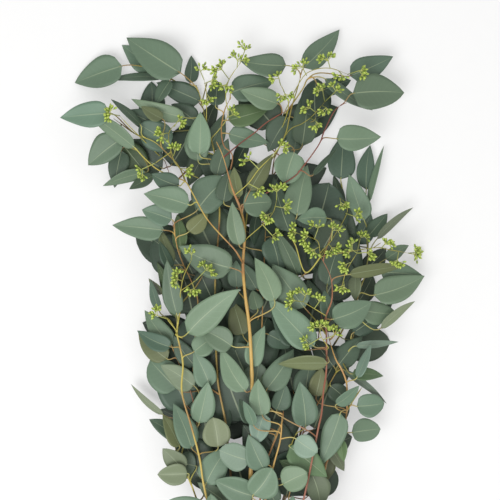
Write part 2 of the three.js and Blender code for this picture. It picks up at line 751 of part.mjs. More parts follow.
// A knot with five club-shaped buds: an eight-faced knot whose faces, all but the three that the stalk
// is nearest to, grow into buds.
const knotCorners = [[1, 0, 0], [0, 1, 0], [-1, 0, 0], [0, -1, 0], [0, 0, 1], [0, 0, -1]];
const knotFaces = [[0, 1, 4], [1, 2, 4], [2, 3, 4], [3, 0, 4], [1, 0, 5], [2, 1, 5], [3, 2, 5], [0, 3, 5]];
const bareFaces = 3;
const budShoulder = 0.62; // where a bud is thickest, as a share of its reach
function knot(centre, stalkDirection) {
  const turn = new THREE.Matrix4().makeRotationZ(between(0, Math.PI));
  const middle = new THREE.Vector3(...centre);
  const corners = knotCorners.map((corner) => new THREE.Vector3(...corner).applyMatrix4(turn));
  const faces = knotFaces.map((face) => {
    const way = face.reduce((sum, i) => sum.add(corners[i]), new THREE.Vector3()).normalize();
    return { face, way, facing: way.x * stalkDirection[0] + way.y * stalkDirection[1] - way.z * 0.5 };
  });
  faces.sort((a, b) => b.facing - a.facing);
  const points = corners.map((corner) => corner.clone().multiplyScalar(knotRadius).add(middle).toArray());
  const mesh = faces.slice(0, bareFaces).map(({ face }) => face);
  for (const { face, way } of faces.slice(bareFaces)) {
    const reach = budReach * between(0.88, 1);
    const first = points.length;
    for (const i of face) {
      const off = corners[i].clone().addScaledVector(way, -corners[i].dot(way)).normalize();
      points.push(off.multiplyScalar(budRadius).addScaledVector(way, reach * budShoulder).add(middle).toArray());
    }
    points.push(way.clone().multiplyScalar(reach).add(middle).toArray());
    face.forEach((corner, i) => {
      const next = (i + 1) % 3;
      mesh.push([corner, face[next], first + next], [corner, first + next, first + i]);
      mesh.push([first + i, first + next, first + 3]);
    });
  }
  return geometryOf(points, mesh);
}

// ---- Building one piece of the bunch ----
const budDrop = budReach * Math.sqrt(1 / 3) + budRadius; // from a knot's middle down to its lowest bud

// The cells under a knot, from its middle.
const knotCells = [];
for (let across = -budReach; across <= budReach; across += reliefCell) {
  for (let along = -budReach; along <= budReach; along += reliefCell) {
    if (across ** 2 + along ** 2 <= budReach ** 2) knotCells.push([across, along]);
  }
}
const heightUnderKnot = (x, y) => Math.max(...knotCells.map(([across, along]) => topAt(x + across, y + along)));

// The way of a stem: straight through the band, then along its route.
function stemWay([column], route) {
  const x = column * stemPitch;
  const start = cutEnd + cutStagger * ((laidStems.length * 3) % 4);
  return [[x, start], ...smoothWay([[x, straightUntil], ...route], stemStep)];
}

// Opposite leaves along a way.
function pairedLeaves(way, [first, last, count, length, width]) {
  const leaves = [];
  for (let k = 0; k < count; k += 1) {
    const at = (first + (last - first) * k / (count - 1)) * (way.length - 1);
    const i = Math.min(Math.floor(at), way.length - 2);
    const [x, y] = mix(way[i], way[i + 1], at - i);
    const forward = heading(way[i], way[i + 1]);
    for (const side of [-1, 1]) {
      const angle = Math.atan2(forward[1], forward[0]) + side * between(0.8, 1.15);
      const [dx, dy] = [Math.cos(angle), Math.sin(angle)];
      const reach = length * between(0.88, 1.08);
      leaves.push([x + dx * 7, y + dy * 7, x + dx * reach, y + dy * reach, width * between(0.88, 1.08)]);
    }
  }
  return leaves;
}

function layPiece({ place, wood, pairs, under = [], over = [], knots }) {
  const row = place ? place[1] : undefined;
  const isBuds = knots !== undefined;
  const radii = place ? [stemRadius, stemTipRadius] : [twigRadius, twigTipRadius];
  const sideRadii = isBuds ? [stalkRadius, stalkRadius] : [twigRadius, twigTipRadius];
  const slope = isBuds ? stalkSlope : place ? stemSlope : twigSlope;
  const lowBlades = under.map((spec) => layBlade(spec));
  const ways = [];
  wood.forEach((route, i) => {
    if (i === 0) {
      const way = place ? stemWay(place, route) : smoothWay(route, twigStep);
      ways.push(layWay(way, isBuds ? stalkRadius : radii[0], slope, row));
      return;
    }
    const start = rootFor(route[0], [0, 0], ways, 0);
    const way = smoothWay([[start[0], start[1]], ...route.slice(1)], twigStep);
    ways.push(layWay(way, sideRadii[0], isBuds ? stalkSlope : twigSlope, undefined, start[2]));
  });
  ways.forEach((way, i) => raiseAlong(way, i === 0 && !isBuds ? radii[0] : sideRadii[0]));
  if (place) laidStems.push(ways[0]);
  const solids = ways.map((way, i) => {
    if (i === 0 && place) return bar(way, ...radii, stemSides);
    return isBuds ? bar(way, stalkRadius, stalkRadius, 4) : bar(way, ...sideRadii, twigSides);
  });
  const grow = (blade) => {
    const end = [...blade.base, blade.heightAt(0, 0)];
    const near = rootFor(end, blade.heading, ways);
    const root = rootFor(end, blade.heading, ways, Math.max(stalkShortest, stalkLean * Math.abs(end[2] - near[2])));
    solids.push(leaf(blade, layStalk(root, end, blade.heading)));
  };
  lowBlades.forEach(grow);
  const upper = pairs ? [...pairedLeaves(ways[0], pairs), ...over] : over;
  for (const spec of upper) {
    const root = rootFor([spec[0], spec[1]], heading([spec[0], spec[1]], [spec[2], spec[3]]), ways);
    grow(layBlade(spec, root));
  }
  const centres = (knots ?? []).map(([x, y]) => [x, y, heightUnderKnot(x, y) + clearance + budDrop]);
  for (const centre of centres) {
    const root = rootFor(centre, [0, 0], ways);
    const forward = heading(root, centre);
    solids.push(bar(layStalk(root, centre, forward), stalkRadius, stalkRadius, 3));
    solids.push(knot(centre, [-forward[0], -forward[1]]));
  }
  for (const [x, y, height] of centres) {
    for (const [across, along] of knotCells) raise(x + across, y + along, height + budDrop);
  }
  return wasm.Manifold.union(solids.map(solidOf));
}

// ---- Band ----
// The outline around the stems' rows, off by a margin: a rounded six-sided ring in X and Z.
function bandOutline(margin) {
  const cornerPoints = 4;
  const rows = [[1, 0], [1.5, 1], [1, 2], [-1, 2], [-1.5, 1], [-1, 0]];
  const firstAngles = [-90, -30, 30, 90, 150, 210];
  const points = [];
  rows.forEach(([column, row], corner) => {
    for (let k = 0; k < cornerPoints; k += 1) {
      const angle = THREE.MathUtils.degToRad(firstAngles[corner] + 60 * k / (cornerPoints - 1));
      points.push(new THREE.Vector2(
        column * stemPitch + margin * Math.cos(angle),
        rowHeight(row) + margin * Math.sin(angle),
      ));
    }
  });
  return points;
}

function band() {
  const shape = new THREE.Shape(bandOutline(stemRadius + bandFit + bandThickness));
  shape.holes.push(new THREE.Path(bandOutline(stemRadius + bandFit)));
  const ring = new THREE.ExtrudeGeometry(shape, { depth: bandWidth, bevelEnabled: false, steps: 1 });
  ring.rotateX(Math.PI / 2);
  ring.translate(0, bandWidth / 2, 0);
  ring.deleteAttribute("normal");
  ring.deleteAttribute("uv");
  return ring;
}

// ---- Assembly ----
const finishes = {
  stem: new THREE.MeshStandardMaterial({ name: "stem", color: 0xb08a55, roughness: 0.75, metalness: 0 }),
  leaf: new THREE.MeshStandardMaterial({ name: "leaf", color: 0x7d977f, roughness: 0.8, metalness: 0 }),
  bud: new THREE.MeshStandardMaterial({ name: "bud", color: 0xa6b653, roughness: 0.7, metalness: 0 }),
  band: new THREE.MeshStandardMaterial({ name: "band", color: 0xb9a582, roughness: 0.6, metalness: 0 }),
};

function meshOf(name, solid, finish) {
  const { vertProperties, triVerts } = solid.getMesh();
  const geometry = new THREE.BufferGeometry();
  geometry.setAttribute("position", new THREE.BufferAttribute(new Float32Array(vertProperties), 3));
  geometry.setIndex(new THREE.BufferAttribute(new Uint32Array(triVerts), 1));
  geometry.computeVertexNormals();
  const mesh = new THREE.Mesh(geometry, finish);
  mesh.name = name;
  return mesh;
}

const bunch = new THREE.Group();
bunch.name = "eucalyptus_bunch";
for (const piece of plan) {
  const finish = piece.knots ? finishes.bud : finishes.leaf;
  bunch.add(meshOf(piece.name, layPiece(piece), finish));
}
const bandMesh = new THREE.Mesh(band(), finishes.band);
bandMesh.name = "band";
bunch.add(bandMesh);

const bounds = new THREE.Box3().setFromObject(bunch, true);
const middle = bounds.getCenter(new THREE.Vector3());
for (const mesh of bunch.children) {
  mesh.geometry.translate(-middle.x, -middle.y, -bounds.min.z);
  mesh.geometry.computeVertexNormals();
}

export default bunch;
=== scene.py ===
"""A tied bunch of seeded eucalyptus, lying on a pale table and seen from above.

The bunch is laid down from the bottom up, as its CAD frame is: every stem, leaf and spray of buds has
its place in plan, and takes its height from a relief of what already lies there. Plan sizes are in
millimetres, +Y along the stems; the meshes are in metres, in the frame's own place.
"""

from __future__ import annotations

import json
import logging
import math
from collections.abc import Callable
from dataclasses import dataclass, field, replace
from enum import Enum

import bpy
import numpy as np
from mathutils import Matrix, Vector

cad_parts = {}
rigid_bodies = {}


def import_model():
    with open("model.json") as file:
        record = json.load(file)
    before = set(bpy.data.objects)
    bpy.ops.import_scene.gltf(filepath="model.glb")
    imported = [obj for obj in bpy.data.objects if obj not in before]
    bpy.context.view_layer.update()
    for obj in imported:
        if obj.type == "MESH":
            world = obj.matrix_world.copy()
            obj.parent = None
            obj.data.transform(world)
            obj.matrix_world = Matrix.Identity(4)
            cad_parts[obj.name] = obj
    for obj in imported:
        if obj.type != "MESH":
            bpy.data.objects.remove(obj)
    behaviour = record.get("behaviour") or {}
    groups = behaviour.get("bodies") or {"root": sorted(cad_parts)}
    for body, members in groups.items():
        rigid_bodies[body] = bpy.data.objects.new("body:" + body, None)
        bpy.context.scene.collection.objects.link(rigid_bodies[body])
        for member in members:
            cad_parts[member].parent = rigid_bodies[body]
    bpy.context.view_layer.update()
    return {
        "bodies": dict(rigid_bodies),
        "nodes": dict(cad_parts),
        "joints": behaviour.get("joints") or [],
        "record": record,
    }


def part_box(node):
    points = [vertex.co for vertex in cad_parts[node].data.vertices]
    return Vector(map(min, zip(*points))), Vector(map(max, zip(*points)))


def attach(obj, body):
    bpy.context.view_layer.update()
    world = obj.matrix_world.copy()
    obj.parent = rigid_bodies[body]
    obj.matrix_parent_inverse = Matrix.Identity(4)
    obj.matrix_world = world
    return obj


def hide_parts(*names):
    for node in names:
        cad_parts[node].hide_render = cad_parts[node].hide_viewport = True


log = logging.getLogger("eucalyptus")

MM = 0.001
STEM_RINGS, TWIG_RINGS, STALK_RINGS = 111, 37, 10
Plan = tuple[float, ...]
Way = np.ndarray
Socket = bpy.types.NodeSocket


# ---- What lies where, in plan ----


@dataclass(frozen=True)
class Layout:
    """One piece of the bunch in plan, in laying order.

    place is the stem's column and row in the band. wood holds the routes of the stem and its twigs and
    barks the tones at each route's two ends. under and over hold the leaves laid before and after the
    wood: base x, base y, tip x, tip y, width in plan and tone. pairs grows opposite leaves along the
    first route. knots holds the places of the knots of buds.
    """

    name: str
    wood: tuple[tuple[Plan, ...], ...]
    barks: tuple[str, ...]
    place: tuple[float, int] | None = None
    pairs: tuple[float, float, int, float, float] | None = None
    under: tuple[tuple, ...] = ()
    over: tuple[tuple, ...] = ()
    knots: tuple[Plan, ...] = ()


LAYOUTS: tuple[Layout, ...] = (
    Layout(
        name="branch_under_left",
        place=(-1, 0),
        wood=(((-24, 100), (-38, 170), (-52, 240), (-60, 310), (-66, 380), (-80, 440), (-100, 500)),),
        barks=("RR",),
        pairs=(0.34, 0.97, 4, 72, 46),
    ),
    Layout(
        name="branch_under_middle",
        place=(0, 0),
        wood=(((-2, 100), (2, 170), (0, 240), (6, 310), (16, 380), (22, 440), (28, 500), (36, 548)),),
        barks=("RO",),
        pairs=(0.34, 0.96, 5, 72, 46),
    ),
    Layout(
        name="branch_under_right",
        place=(1, 0),
        wood=(
            ((38, 100), (58, 180), (74, 240), (90, 272), (105, 295), (115, 315), (127, 342), (130, 362),
             (137, 380), (139, 420), (136, 455)),
            ((105, 295), (102, 340), (103, 395), (109, 413), (109, 430), (110, 460), (107, 478)),
        ),
        barks=("RY", "YY"),
        pairs=(0.36, 0.64, 2, 70, 44),
        over=(
            (104, 424, 74, 452, 30, "D"), (107, 440, 98, 484, 16, "D"), (106, 478, 110, 533, 33, "M"),
            (128, 402, 142, 438, 24, "D"), (136, 466, 141, 519, 23, "D"), (138, 450, 157, 518, 7, "L"),
            (133, 430, 115, 484, 26, "L"), (134, 372, 160, 398, 24, "D"), (138, 412, 160, 438, 18, "D"),
            (112, 404, 114, 446, 24, "D"), (128, 336, 144, 366, 24, "M"),
        ),
    ),
    Layout(
        name="sprig_low_left",
        wood=(((-26, 108), (-38, 180), (-46, 260), (-44, 330), (-40, 396)),),
        barks=("BO",),
        over=(
            (-30, 116, -46, 172, 42, "D"), (-46, 176, -64, 238, 42, "M"), (-54, 240, -90, 296, 42, "D"),
            (-50, 296, -28, 362, 44, "D"), (-66, 322, -84, 384, 38, "D"), (-30, 360, -24, 426, 42, "D"),
            (-44, 398, -66, 456, 40, "M"), (-64, 364, -94, 412, 32, "D"), (-40, 236, -44, 296, 38, "D"),
            (-72, 214, -100, 258, 30, "D"), (-58, 134, -76, 178, 32, "D"), (-58, 268, -70, 318, 34, "D"),
            (-76, 372, -112, 408, 30, "D"), (-34, 236, -26, 292, 32, "D"), (-84, 236, -116, 268, 24, "M"),
            (-44, 340, -58, 372, 22, "D"),
        ),
    ),
    Layout(
        name="sprig_low_middle",
        wood=(((2, 104), (4, 190), (4, 280), (12, 360), (16, 430)),),
        barks=("BO",),
        over=(
            (-4, 112, -20, 172, 44, "D"), (-8, 200, -30, 260, 42, "D"), (20, 176, 42, 236, 42, "D"),
            (26, 236, 56, 300, 44, "M"), (-2, 290, 10, 356, 42, "D"), (22, 372, 42, 430, 40, "D"),
            (-10, 424, 0, 488, 40, "D"), (12, 430, 34, 484, 36, "D"), (0, 262, 20, 318, 34, "D"),
            (10, 318, 30, 372, 34, "D"), (14, 150, 36, 200, 34, "D"), (-8, 350, -30, 398, 30, "D"),
            (-2, 248, -20, 290, 28, "D"), (2, 236, 10, 268, 20, "M"),
        ),
    ),
    Layout(
        name="sprig_low_right",
        wood=(((40, 104), (62, 190), (78, 280), (84, 360), (82, 410)),),
        barks=("RO",),
        over=(
            (42, 112, 56, 168, 40, "D"), (66, 112, 80, 158, 36, "D"), (74, 190, 98, 250, 42, "M"),
            (66, 300, 78, 364, 42, "D"), (62, 366, 66, 432, 42, "D"), (96, 356, 112, 416, 42, "D"),
            (74, 412, 92, 474, 40, "D"), (60, 366, 50, 424, 30, "D"), (86, 340, 110, 388, 32, "D"),
            (50, 232, 40, 284, 30, "D"), (80, 236, 104, 284, 30, "D"), (62, 226, 68, 262, 22, "M"),
            (84, 396, 104, 430, 26, "D"),
        ),
    ),
    Layout(
        name="sprig_left_edge",
        wood=(((-60, 196), (-68, 232), (-80, 262), (-92, 288)),),
        barks=("BO",),
        over=(
            (-95, 270, -130, 302, 26, "O"), (-90, 286, -122, 326, 24, "M"), (-62, 262, -88, 298, 22, "D"),
            (-100, 205, -139, 239, 10, "Y"),
        ),
    ),
    Layout(
        name="sprig_right_edge",
        wood=(((74, 214), (96, 250), (112, 278), (122, 304)),),
        barks=("OY",),
        over=(
            (100, 262, 130, 296, 26, "D"), (118, 300, 166, 334, 24, "D"), (107, 259, 158, 218, 9, "P"),
            (115, 255, 152, 252, 14, "G"), (120, 286, 171, 290, 10, "P"), (92, 240, 112, 222, 22, "D"),
            (96, 262, 70, 294, 26, "D"),
        ),
    ),
    Layout(
        name="sprig_top_left_low",
        wood=(((-46, 520), (-54, 560), (-72, 582), (-97, 600), (-122, 611)),),
        barks=("OY",),
        over=(
            (-118, 548, -116, 594, 31, "M"), (-58, 570, -110, 592, 26, "D"),
            (-118, 605, -151, 637, 25, "M"), (-100, 597, -168, 594, 12, "D"),
            (-149, 610, -206, 592, 38, "M"), (-53, 534, -38, 572, 20, "D"), (-50, 512, -72, 470, 26, "D"),
            (-92, 592, -110, 564, 18, "D"),
        ),
    ),
    Layout(
        name="sprig_top_low",
        wood=(((32, 490), (42, 516), (52, 540), (64, 566)),),
        barks=("OO",),
        over=(
            (45, 550, 21, 510, 30, "D"), (60, 548, 50, 500, 26, "D"), (60, 515, 67, 588, 30, "D"),
            (76, 548, 78, 596, 36, "D"), (-4, 520, -20, 488, 16, "D"),
        ),
    ),
    Layout(
        name="sprig_middle_low",
        wood=(((12, 270), (14, 320), (16, 372), (18, 420)),),
        barks=("OO",),
        over=(
            (24, 410, 34, 368, 30, "D"), (8, 436, 5, 400, 14, "D"), (-8, 402, -32, 445, 18, "D"),
            (20, 300, 46, 284, 22, "D"), (8, 350, -12, 382, 20, "M"),
        ),
    ),
    Layout(
        name="branch_lower_left",
        place=(-1.5, 1),
        wood=(((-57, 100), (-68, 130), (-80, 155), (-88, 178)), ((-79, 153), (-75, 176))),
        barks=("OY", "YY"),
        under=((-62, 148, -86, 152, 28, "M"), (-84, 180, -116, 201, 18, "D")),
        over=(
            (-80, 172, -100, 207, 18, "O"), (-75, 145, -99, 171, 24, "Y"), (-70, 142, -105, 141, 25, "Y"),
        ),
    ),
    Layout(
        name="branch_left",
        place=(-0.5, 1),
        wood=(
            ((-18, 100), (-28, 200), (-36, 240), (-40, 320), (-39, 380), (-36, 415), (-35, 445), (-39, 463),
             (-40, 500), (-43, 517), (-50, 540), (-54, 558), (-58, 575), (-63, 588)),
            ((-54, 565), (-50, 592)),
        ),
        barks=("RY", "YY"),
        under=((-40, 480, -55, 512, 25, "D"), (-62, 545, -92, 566, 24, "D"), (-50, 510, -30, 556, 22, "M")),
        over=(
            (-38, 480, -25, 525, 22, "M"), (-60, 498, -62, 548, 28, "M"), (-58, 505, -57, 555, 27, "L"),
            (-70, 590, -69, 624, 16, "D"), (-75, 549, -138, 571, 20, "L"), (-80, 600, -145, 645, 42, "M"),
        ),
    ),
    Layout(
        name="branch_lower_middle",
        place=(0.5, 1),
        wood=(((10, 100), (13, 122), (18, 153), (24, 170), (32, 190), (38, 207), (35, 228)),),
        barks=("TO",),
        under=((20, 150, -8, 196, 34, "D"), (60, 145, 33, 157, 18, "G")),
        over=((12, 200, 14, 255, 20, "G"), (0, 200, -12, 228, 14, "M"), (30, 214, 40, 244, 22, "D")),
    ),
    Layout(
        name="branch_right",
        place=(1.5, 1),
        wood=(
            ((70, 100), (88, 157), (100, 178), (109, 200), (110, 240), (104, 260), (97, 272), (90, 295),
             (88, 310)),
            ((110, 208), (128, 238)),
        ),
        barks=("BO", "YY"),
        under=((90, 158, 85, 128, 20, "O"), (92, 168, 108, 142, 16, "Y"), (75, 228, 82, 262, 22, "O")),
        over=(
            (103, 182, 106, 156, 12, "G"), (116, 187, 150, 190, 27, "M"), (122, 217, 154, 220, 27, "M"),
            (97, 221, 123, 243, 16, "M"), (102, 212, 79, 152, 27, "L"), (120, 252, 137, 290, 10, "P"),
        ),
    ),
    Layout(
        name="sprig_left_middle",
        wood=(
            ((-62, 250), (-64, 270), (-62, 305), (-60, 340), (-68, 362), (-75, 377), (-82, 395), (-89, 430)),
        ),
        barks=("OO",),
        under=((-80, 395, -84, 437, 18, "G"), (-70, 416, -48, 440, 20, "O")),
        over=(
            (-88, 380, -103, 421, 14, "O"), (-88, 375, -102, 406, 12, "D"), (-97, 418, -157, 424, 27, "M"),
            (-88, 430, -122, 441, 24, "M"), (-60, 441, -25, 478, 40, "M"),
        ),
    ),
    Layout(
        name="sprig_lower_left",
        wood=(((-52, 118), (-57, 150), (-62, 185), (-58, 215)),),
        barks=("OO",),
        over=(
            (-25, 105, -60, 131, 22, "M"), (-50, 130, -25, 170, 32, "M"), (-66, 170, -88, 220, 25, "M"),
            (-63, 240, -103, 264, 26, "Y"), (-45, 240, -64, 280, 26, "M"), (-58, 198, -47, 247, 27, "L"),
            (-36, 172, -42, 206, 32, "Y"),
        ),
    ),
    Layout(
        name="sprig_lower_right",
        wood=(((44, 112), (50, 142), (46, 172), (54, 192)),),
        barks=("OY",),
        over=((70, 142, 80, 102, 28, "Y"), (44, 175, 87, 140, 32, "G"), (63, 195, 56, 247, 30, "M")),
    ),
    Layout(
        name="sprig_right_middle",
        wood=(((96, 300), (104, 322), (118, 330), (126, 352), (134, 372)),),
        barks=("OY",),
        over=(
            (128, 327, 170, 322, 27, "M"), (149, 306, 190, 337, 12, "Y"), (88, 355, 103, 402, 30, "M"),
            (120, 366, 119, 338, 14, "Y"), (150, 370, 200, 366, 24, "M"), (155, 385, 182, 401, 16, "L"),
            (146, 408, 190, 445, 10, "Y"), (141, 344, 201, 366, 32, "L"),
        ),
    ),
    Layout(
        name="branch_seeded_left",
        place=(-1, 2),
        wood=(
            ((-45, 100), (-57, 160), (-66, 195), (-77, 235), (-76, 265), (-80, 288), (-83, 302), (-80, 322),
             (-77, 340), (-78, 375)),
            ((-76, 337), (-63, 352), (-53, 368)),
            ((-83, 302), (-92, 315), (-100, 320)),
        ),
        barks=("OY", "YY", "YY"),
        under=(
            (-90, 285, -130, 303, 20, "D"), (-85, 318, -107, 382, 18, "G"), (-100, 345, -117, 363, 10, "O"),
        ),
        over=(
            (-82, 322, -93, 385, 22, "M"), (-64, 280, -38, 300, 26, "L"), (-104, 325, -114, 362, 12, "D"),
        ),
    ),
    Layout(
        name="branch_seeded_right",
        place=(1, 2),
        wood=(
            ((55, 100), (65, 140), (77, 200), (80, 212), (83, 240), (86, 258), (86, 300), (85, 320),
             (92, 340), (91, 365), (80, 388)),
            ((80, 386), (63, 370), (52, 400), (46, 412), (48, 420), (53, 434)),
            ((86, 302), (75, 315), (62, 330)),
        ),
        barks=("RB", "YY", "YY"),
        under=(
            (55, 365, 30, 418, 18, "M"), (80, 330, 66, 362, 18, "M"), (92, 318, 84, 350, 18, "M"),
            (18, 238, 50, 283, 28, "L"),
        ),
        over=(
            (87, 269, 31, 267, 18, "O"), (50, 288, 22, 335, 28, "M"), (92, 318, 138, 337, 32, "L"),
            (111, 368, 178, 378, 15, "O"), (88, 432, 53, 430, 22, "M"), (45, 416, 27, 480, 27, "M"),
            (53, 434, 66, 493, 30, "L"), (62, 330, 25, 380, 36, "L"), (72, 287, 21, 341, 34, "L"),
        ),
    ),
    Layout(
        name="sprig_top_middle",
        wood=(((-20, 500), (-30, 515), (-33, 535), (-29, 558), (-22, 572)),),
        barks=("BO",),
        over=(
            (-25, 530, 22, 520, 24, "M"), (-25, 545, 22, 560, 28, "G"), (-40, 562, -38, 592, 22, "D"),
            (-22, 577, 28, 592, 32, "M"),
        ),
    ),
    Layout(
        name="branch_middle",
        place=(0, 2),
        wood=(
            ((-1, 100), (2, 170), (2, 260), (0, 300), (-2, 320), (-6, 350), (-8, 380), (-6, 413),
             (-10, 440), (-20, 465), (-30, 500), (-38, 518)),
            ((-6, 413), (0, 462), (6, 478), (25, 500), (40, 527), (48, 560), (57, 590), (60, 605)),
            ((-30, 500), (-12, 517), (5, 530), (20, 543), (43, 557)),
        ),
        barks=("TO", "YY", "RR"),
        under=(
            (-30, 450, -22, 488, 22, "D"), (-12, 455, -18, 490, 16, "O"), (-15, 352, -16, 384, 20, "M"),
            (-8, 298, -20, 337, 24, "O"), (9, 328, 3, 350, 18, "L"), (2, 263, 17, 310, 22, "L"),
        ),
        over=(
            (-8, 447, 25, 450, 30, "M"), (-12, 400, -20, 450, 20, "L"), (28, 338, 5, 387, 26, "L"),
            (0, 462, 26, 505, 20, "O"), (50, 506, 40, 470, 34, "L"), (33, 565, -12, 580, 26, "L"),
            (42, 610, -12, 615, 29, "M"), (62, 606, 105, 654, 27, "L"), (-5, 237, -33, 285, 25, "L"),
            (-20, 287, -56, 306, 28, "L"), (-20, 375, -81, 400, 37, "L"),
        ),
    ),
    Layout(
        name="sprig_seeded_left",
        wood=(((-84, 300), (-76, 296)),),
        barks=("YY",),
        over=((-71, 301, -11, 352, 33, "L"),),
    ),
    Layout(
        name="sprig_upper_left",
        wood=(
            ((-12, 388), (-18, 397), (-35, 415), (-50, 433), (-65, 460), (-73, 473), (-85, 478),
             (-105, 487), (-120, 500), (-133, 513), (-142, 518)),
            ((-73, 473), (-82, 492), (-110, 520), (-130, 528), (-157, 547)),
        ),
        barks=("OY", "YY"),
        under=(
            (-148, 518, -117, 480, 30, "G"), (-150, 512, -158, 468, 24, "D"),
            (-120, 486, -171, 470, 14, "L"), (-112, 482, -140, 466, 15, "D"),
            (-102, 535, -148, 557, 25, "D"), (-92, 515, -128, 540, 35, "M"),
            (-100, 546, -125, 561, 16, "O"),
        ),
        over=(
            (-80, 468, -112, 482, 22, "D"), (-148, 522, -186, 493, 32, "M"),
            (-131, 512, -187, 554, 18, "L"), (-125, 538, -161, 570, 10, "D"),
            (-158, 550, -216, 546, 30, "M"), (-68, 446, -120, 459, 30, "L"),
        ),
    ),
    Layout(
        name="sprig_top_right",
        wood=(((60, 580), (66, 592), (80, 600), (112, 597)),),
        barks=("YO",),
        over=((85, 580, 117, 592, 18, "D"), (85, 591, 142, 557, 16, "L"), (115, 596, 166, 620, 28, "M")),
    ),
    Layout(
        name="sprig_right_red",
        wood=(((45, 475), (60, 490), (78, 515), (84, 530), (97, 555), (110, 563)),),
        barks=("RR",),
        over=((71, 480, 100, 512, 7, "D"), (98, 522, 150, 525, 30, "M"), (117, 574, 178, 577, 42, "M")),
    ),
    Layout(
        name="sprig_front_middle",
        wood=(((14, 96), (20, 126), (27, 156), (34, 184), (36, 212)),),
        barks=("TO",),
        under=((5, 118, -40, 136, 32, "M"), (30, 108, 18, 132, 22, "M")),
        over=(
            (3, 120, 25, 152, 34, "L"), (36, 133, 64, 148, 30, "M"), (51, 185, 75, 170, 26, "P"),
            (0, 160, -35, 170, 32, "P"), (16, 212, 7, 178, 24, "P"), (14, 210, 9, 252, 24, "L"),
            (4, 200, -8, 228, 13, "M"), (16, 150, -2, 190, 26, "M"),
        ),
    ),
    Layout(
        name="sprig_front_left",
        wood=(((-16, 52), (-34, 78), (-52, 96)),),
        barks=("OO",),
        over=(
            (-30, 66, -64, 72, 30, "M"), (-22, 60, -10, 100, 30, "L"), (-50, 92, -92, 112, 30, "M"),
            (-40, 84, -44, 122, 26, "M"),
        ),
    ),
    Layout(
        name="sprig_front_right",
        wood=(((14, 46), (34, 72), (56, 92)),),
        barks=("OO",),
        over=(
            (30, 62, 66, 66, 30, "M"), (20, 54, 14, 98, 32, "L"), (56, 90, 98, 104, 30, "M"),
            (40, 78, 48, 122, 28, "M"),
        ),
    ),
    Layout(
        name="buds_left_fork",
        wood=(((-80, 489), (-90, 508), (-93, 530), (-82, 544)), ((-90, 508), (-108, 494))),
        barks=("YY", "YY"),
        knots=((-72, 487), (-85, 508), (-98, 528), (-82, 543), (-122, 487)),
    ),
    Layout(
        name="buds_far_left",
        wood=(((-134, 533), (-148, 548)),),
        barks=("YY",),
        knots=((-156, 548),),
    ),
    Layout(
        name="buds_top_left",
        wood=(((-50, 552), (-50, 575), (-53, 592)),),
        barks=("YY",),
        knots=((-47, 571), (-45, 589), (-57, 601)),
    ),
    Layout(
        name="buds_top_middle",
        wood=(((-26, 548), (-28, 572), (-24, 592), (-12, 610)),),
        barks=("YY",),
        knots=((-20, 550), (-27, 585), (-32, 600), (-14, 612), (-6, 625)),
    ),
    Layout(
        name="buds_top_fork",
        wood=(((44, 558), (40, 576), (34, 590)),),
        barks=("YY",),
        knots=((40, 574), (33, 593)),
    ),
    Layout(
        name="buds_top_right",
        wood=(((58, 590), (72, 602), (92, 604), (112, 597)),),
        barks=("YY",),
        knots=((60, 604), (89, 611), (104, 596), (124, 599)),
    ),
    Layout(
        name="buds_right_fork",
        wood=(((44, 532), (60, 541), (72, 550), (86, 566)),),
        barks=("YY",),
        knots=((75, 540), (69, 558), (86, 556), (82, 576), (97, 575)),
    ),
    Layout(
        name="buds_middle_fork",
        wood=(((-2, 470), (10, 486), (24, 500)),),
        barks=("YY",),
        knots=((0, 496), (33, 511), (9, 464)),
    ),
    Layout(
        name="buds_middle",
        wood=(((-2, 410), (14, 424), (26, 438), (30, 452)),),
        barks=("YY",),
        knots=((25, 412), (20, 435), (37, 443), (30, 461)),
    ),
    Layout(
        name="buds_right_middle",
        wood=(((79, 392), (76, 406), (62, 412)), ((79, 392), (92, 406))),
        barks=("YY", "YY"),
        knots=((72, 396), (92, 398), (52, 415), (65, 411), (77, 420), (93, 418)),
    ),
    Layout(
        name="buds_right_red",
        wood=(((108, 430), (112, 446), (104, 456)),),
        barks=("YY",),
        knots=((120, 434), (104, 450)),
    ),
    Layout(
        name="buds_left_seeded",
        wood=(((-78, 345), (-74, 366), (-66, 384)), ((-76, 352), (-60, 362))),
        barks=("YY", "YY"),
        knots=((-80, 363), (-65, 390), (-50, 373), (-62, 353)),
    ),
    Layout(
        name="buds_left_edge",
        wood=(((-84, 306), (-94, 318)),),
        barks=("YY",),
        knots=((-104, 322),),
    ),
    Layout(
        name="buds_seeded_middle",
        wood=(((85, 322), (72, 330), (60, 337)),),
        barks=("YY",),
        knots=((50, 339), (62, 344), (77, 338)),
    ),
    Layout(
        name="buds_seeded_low",
        wood=(((88, 286), (80, 298), (78, 306)),),
        barks=("YY",),
        knots=((66, 290), (78, 309), (94, 301)),
    ),
    Layout(
        name="buds_right_edge",
        wood=(((102, 352), (108, 372), (120, 392)),),
        barks=("YY",),
        knots=((105, 356), (108, 380), (114, 396), (130, 393), (127, 410)),
    ),
    Layout(
        name="buds_far_right",
        wood=(((140, 398), (158, 396), (180, 392)), ((140, 398), (150, 404))),
        barks=("YY", "YY"),
        knots=((152, 402), (166, 385), (184, 391), (194, 393)),
    ),
)


# ---- Colours ----


def linear(red: int, green: int, blue: int) -> np.ndarray:
    """A display colour of three bytes as linear light.

    Args:
        red: Red, 0 to 255.
        green: Green, 0 to 255.
        blue: Blue, 0 to 255.

    Returns:
        The three linear shares.
    """
    shares = np.array([red, green, blue]) / 255.0
    return np.where(shares <= 0.04045, shares / 12.92, ((shares + 0.055) / 1.055) ** 2.4)


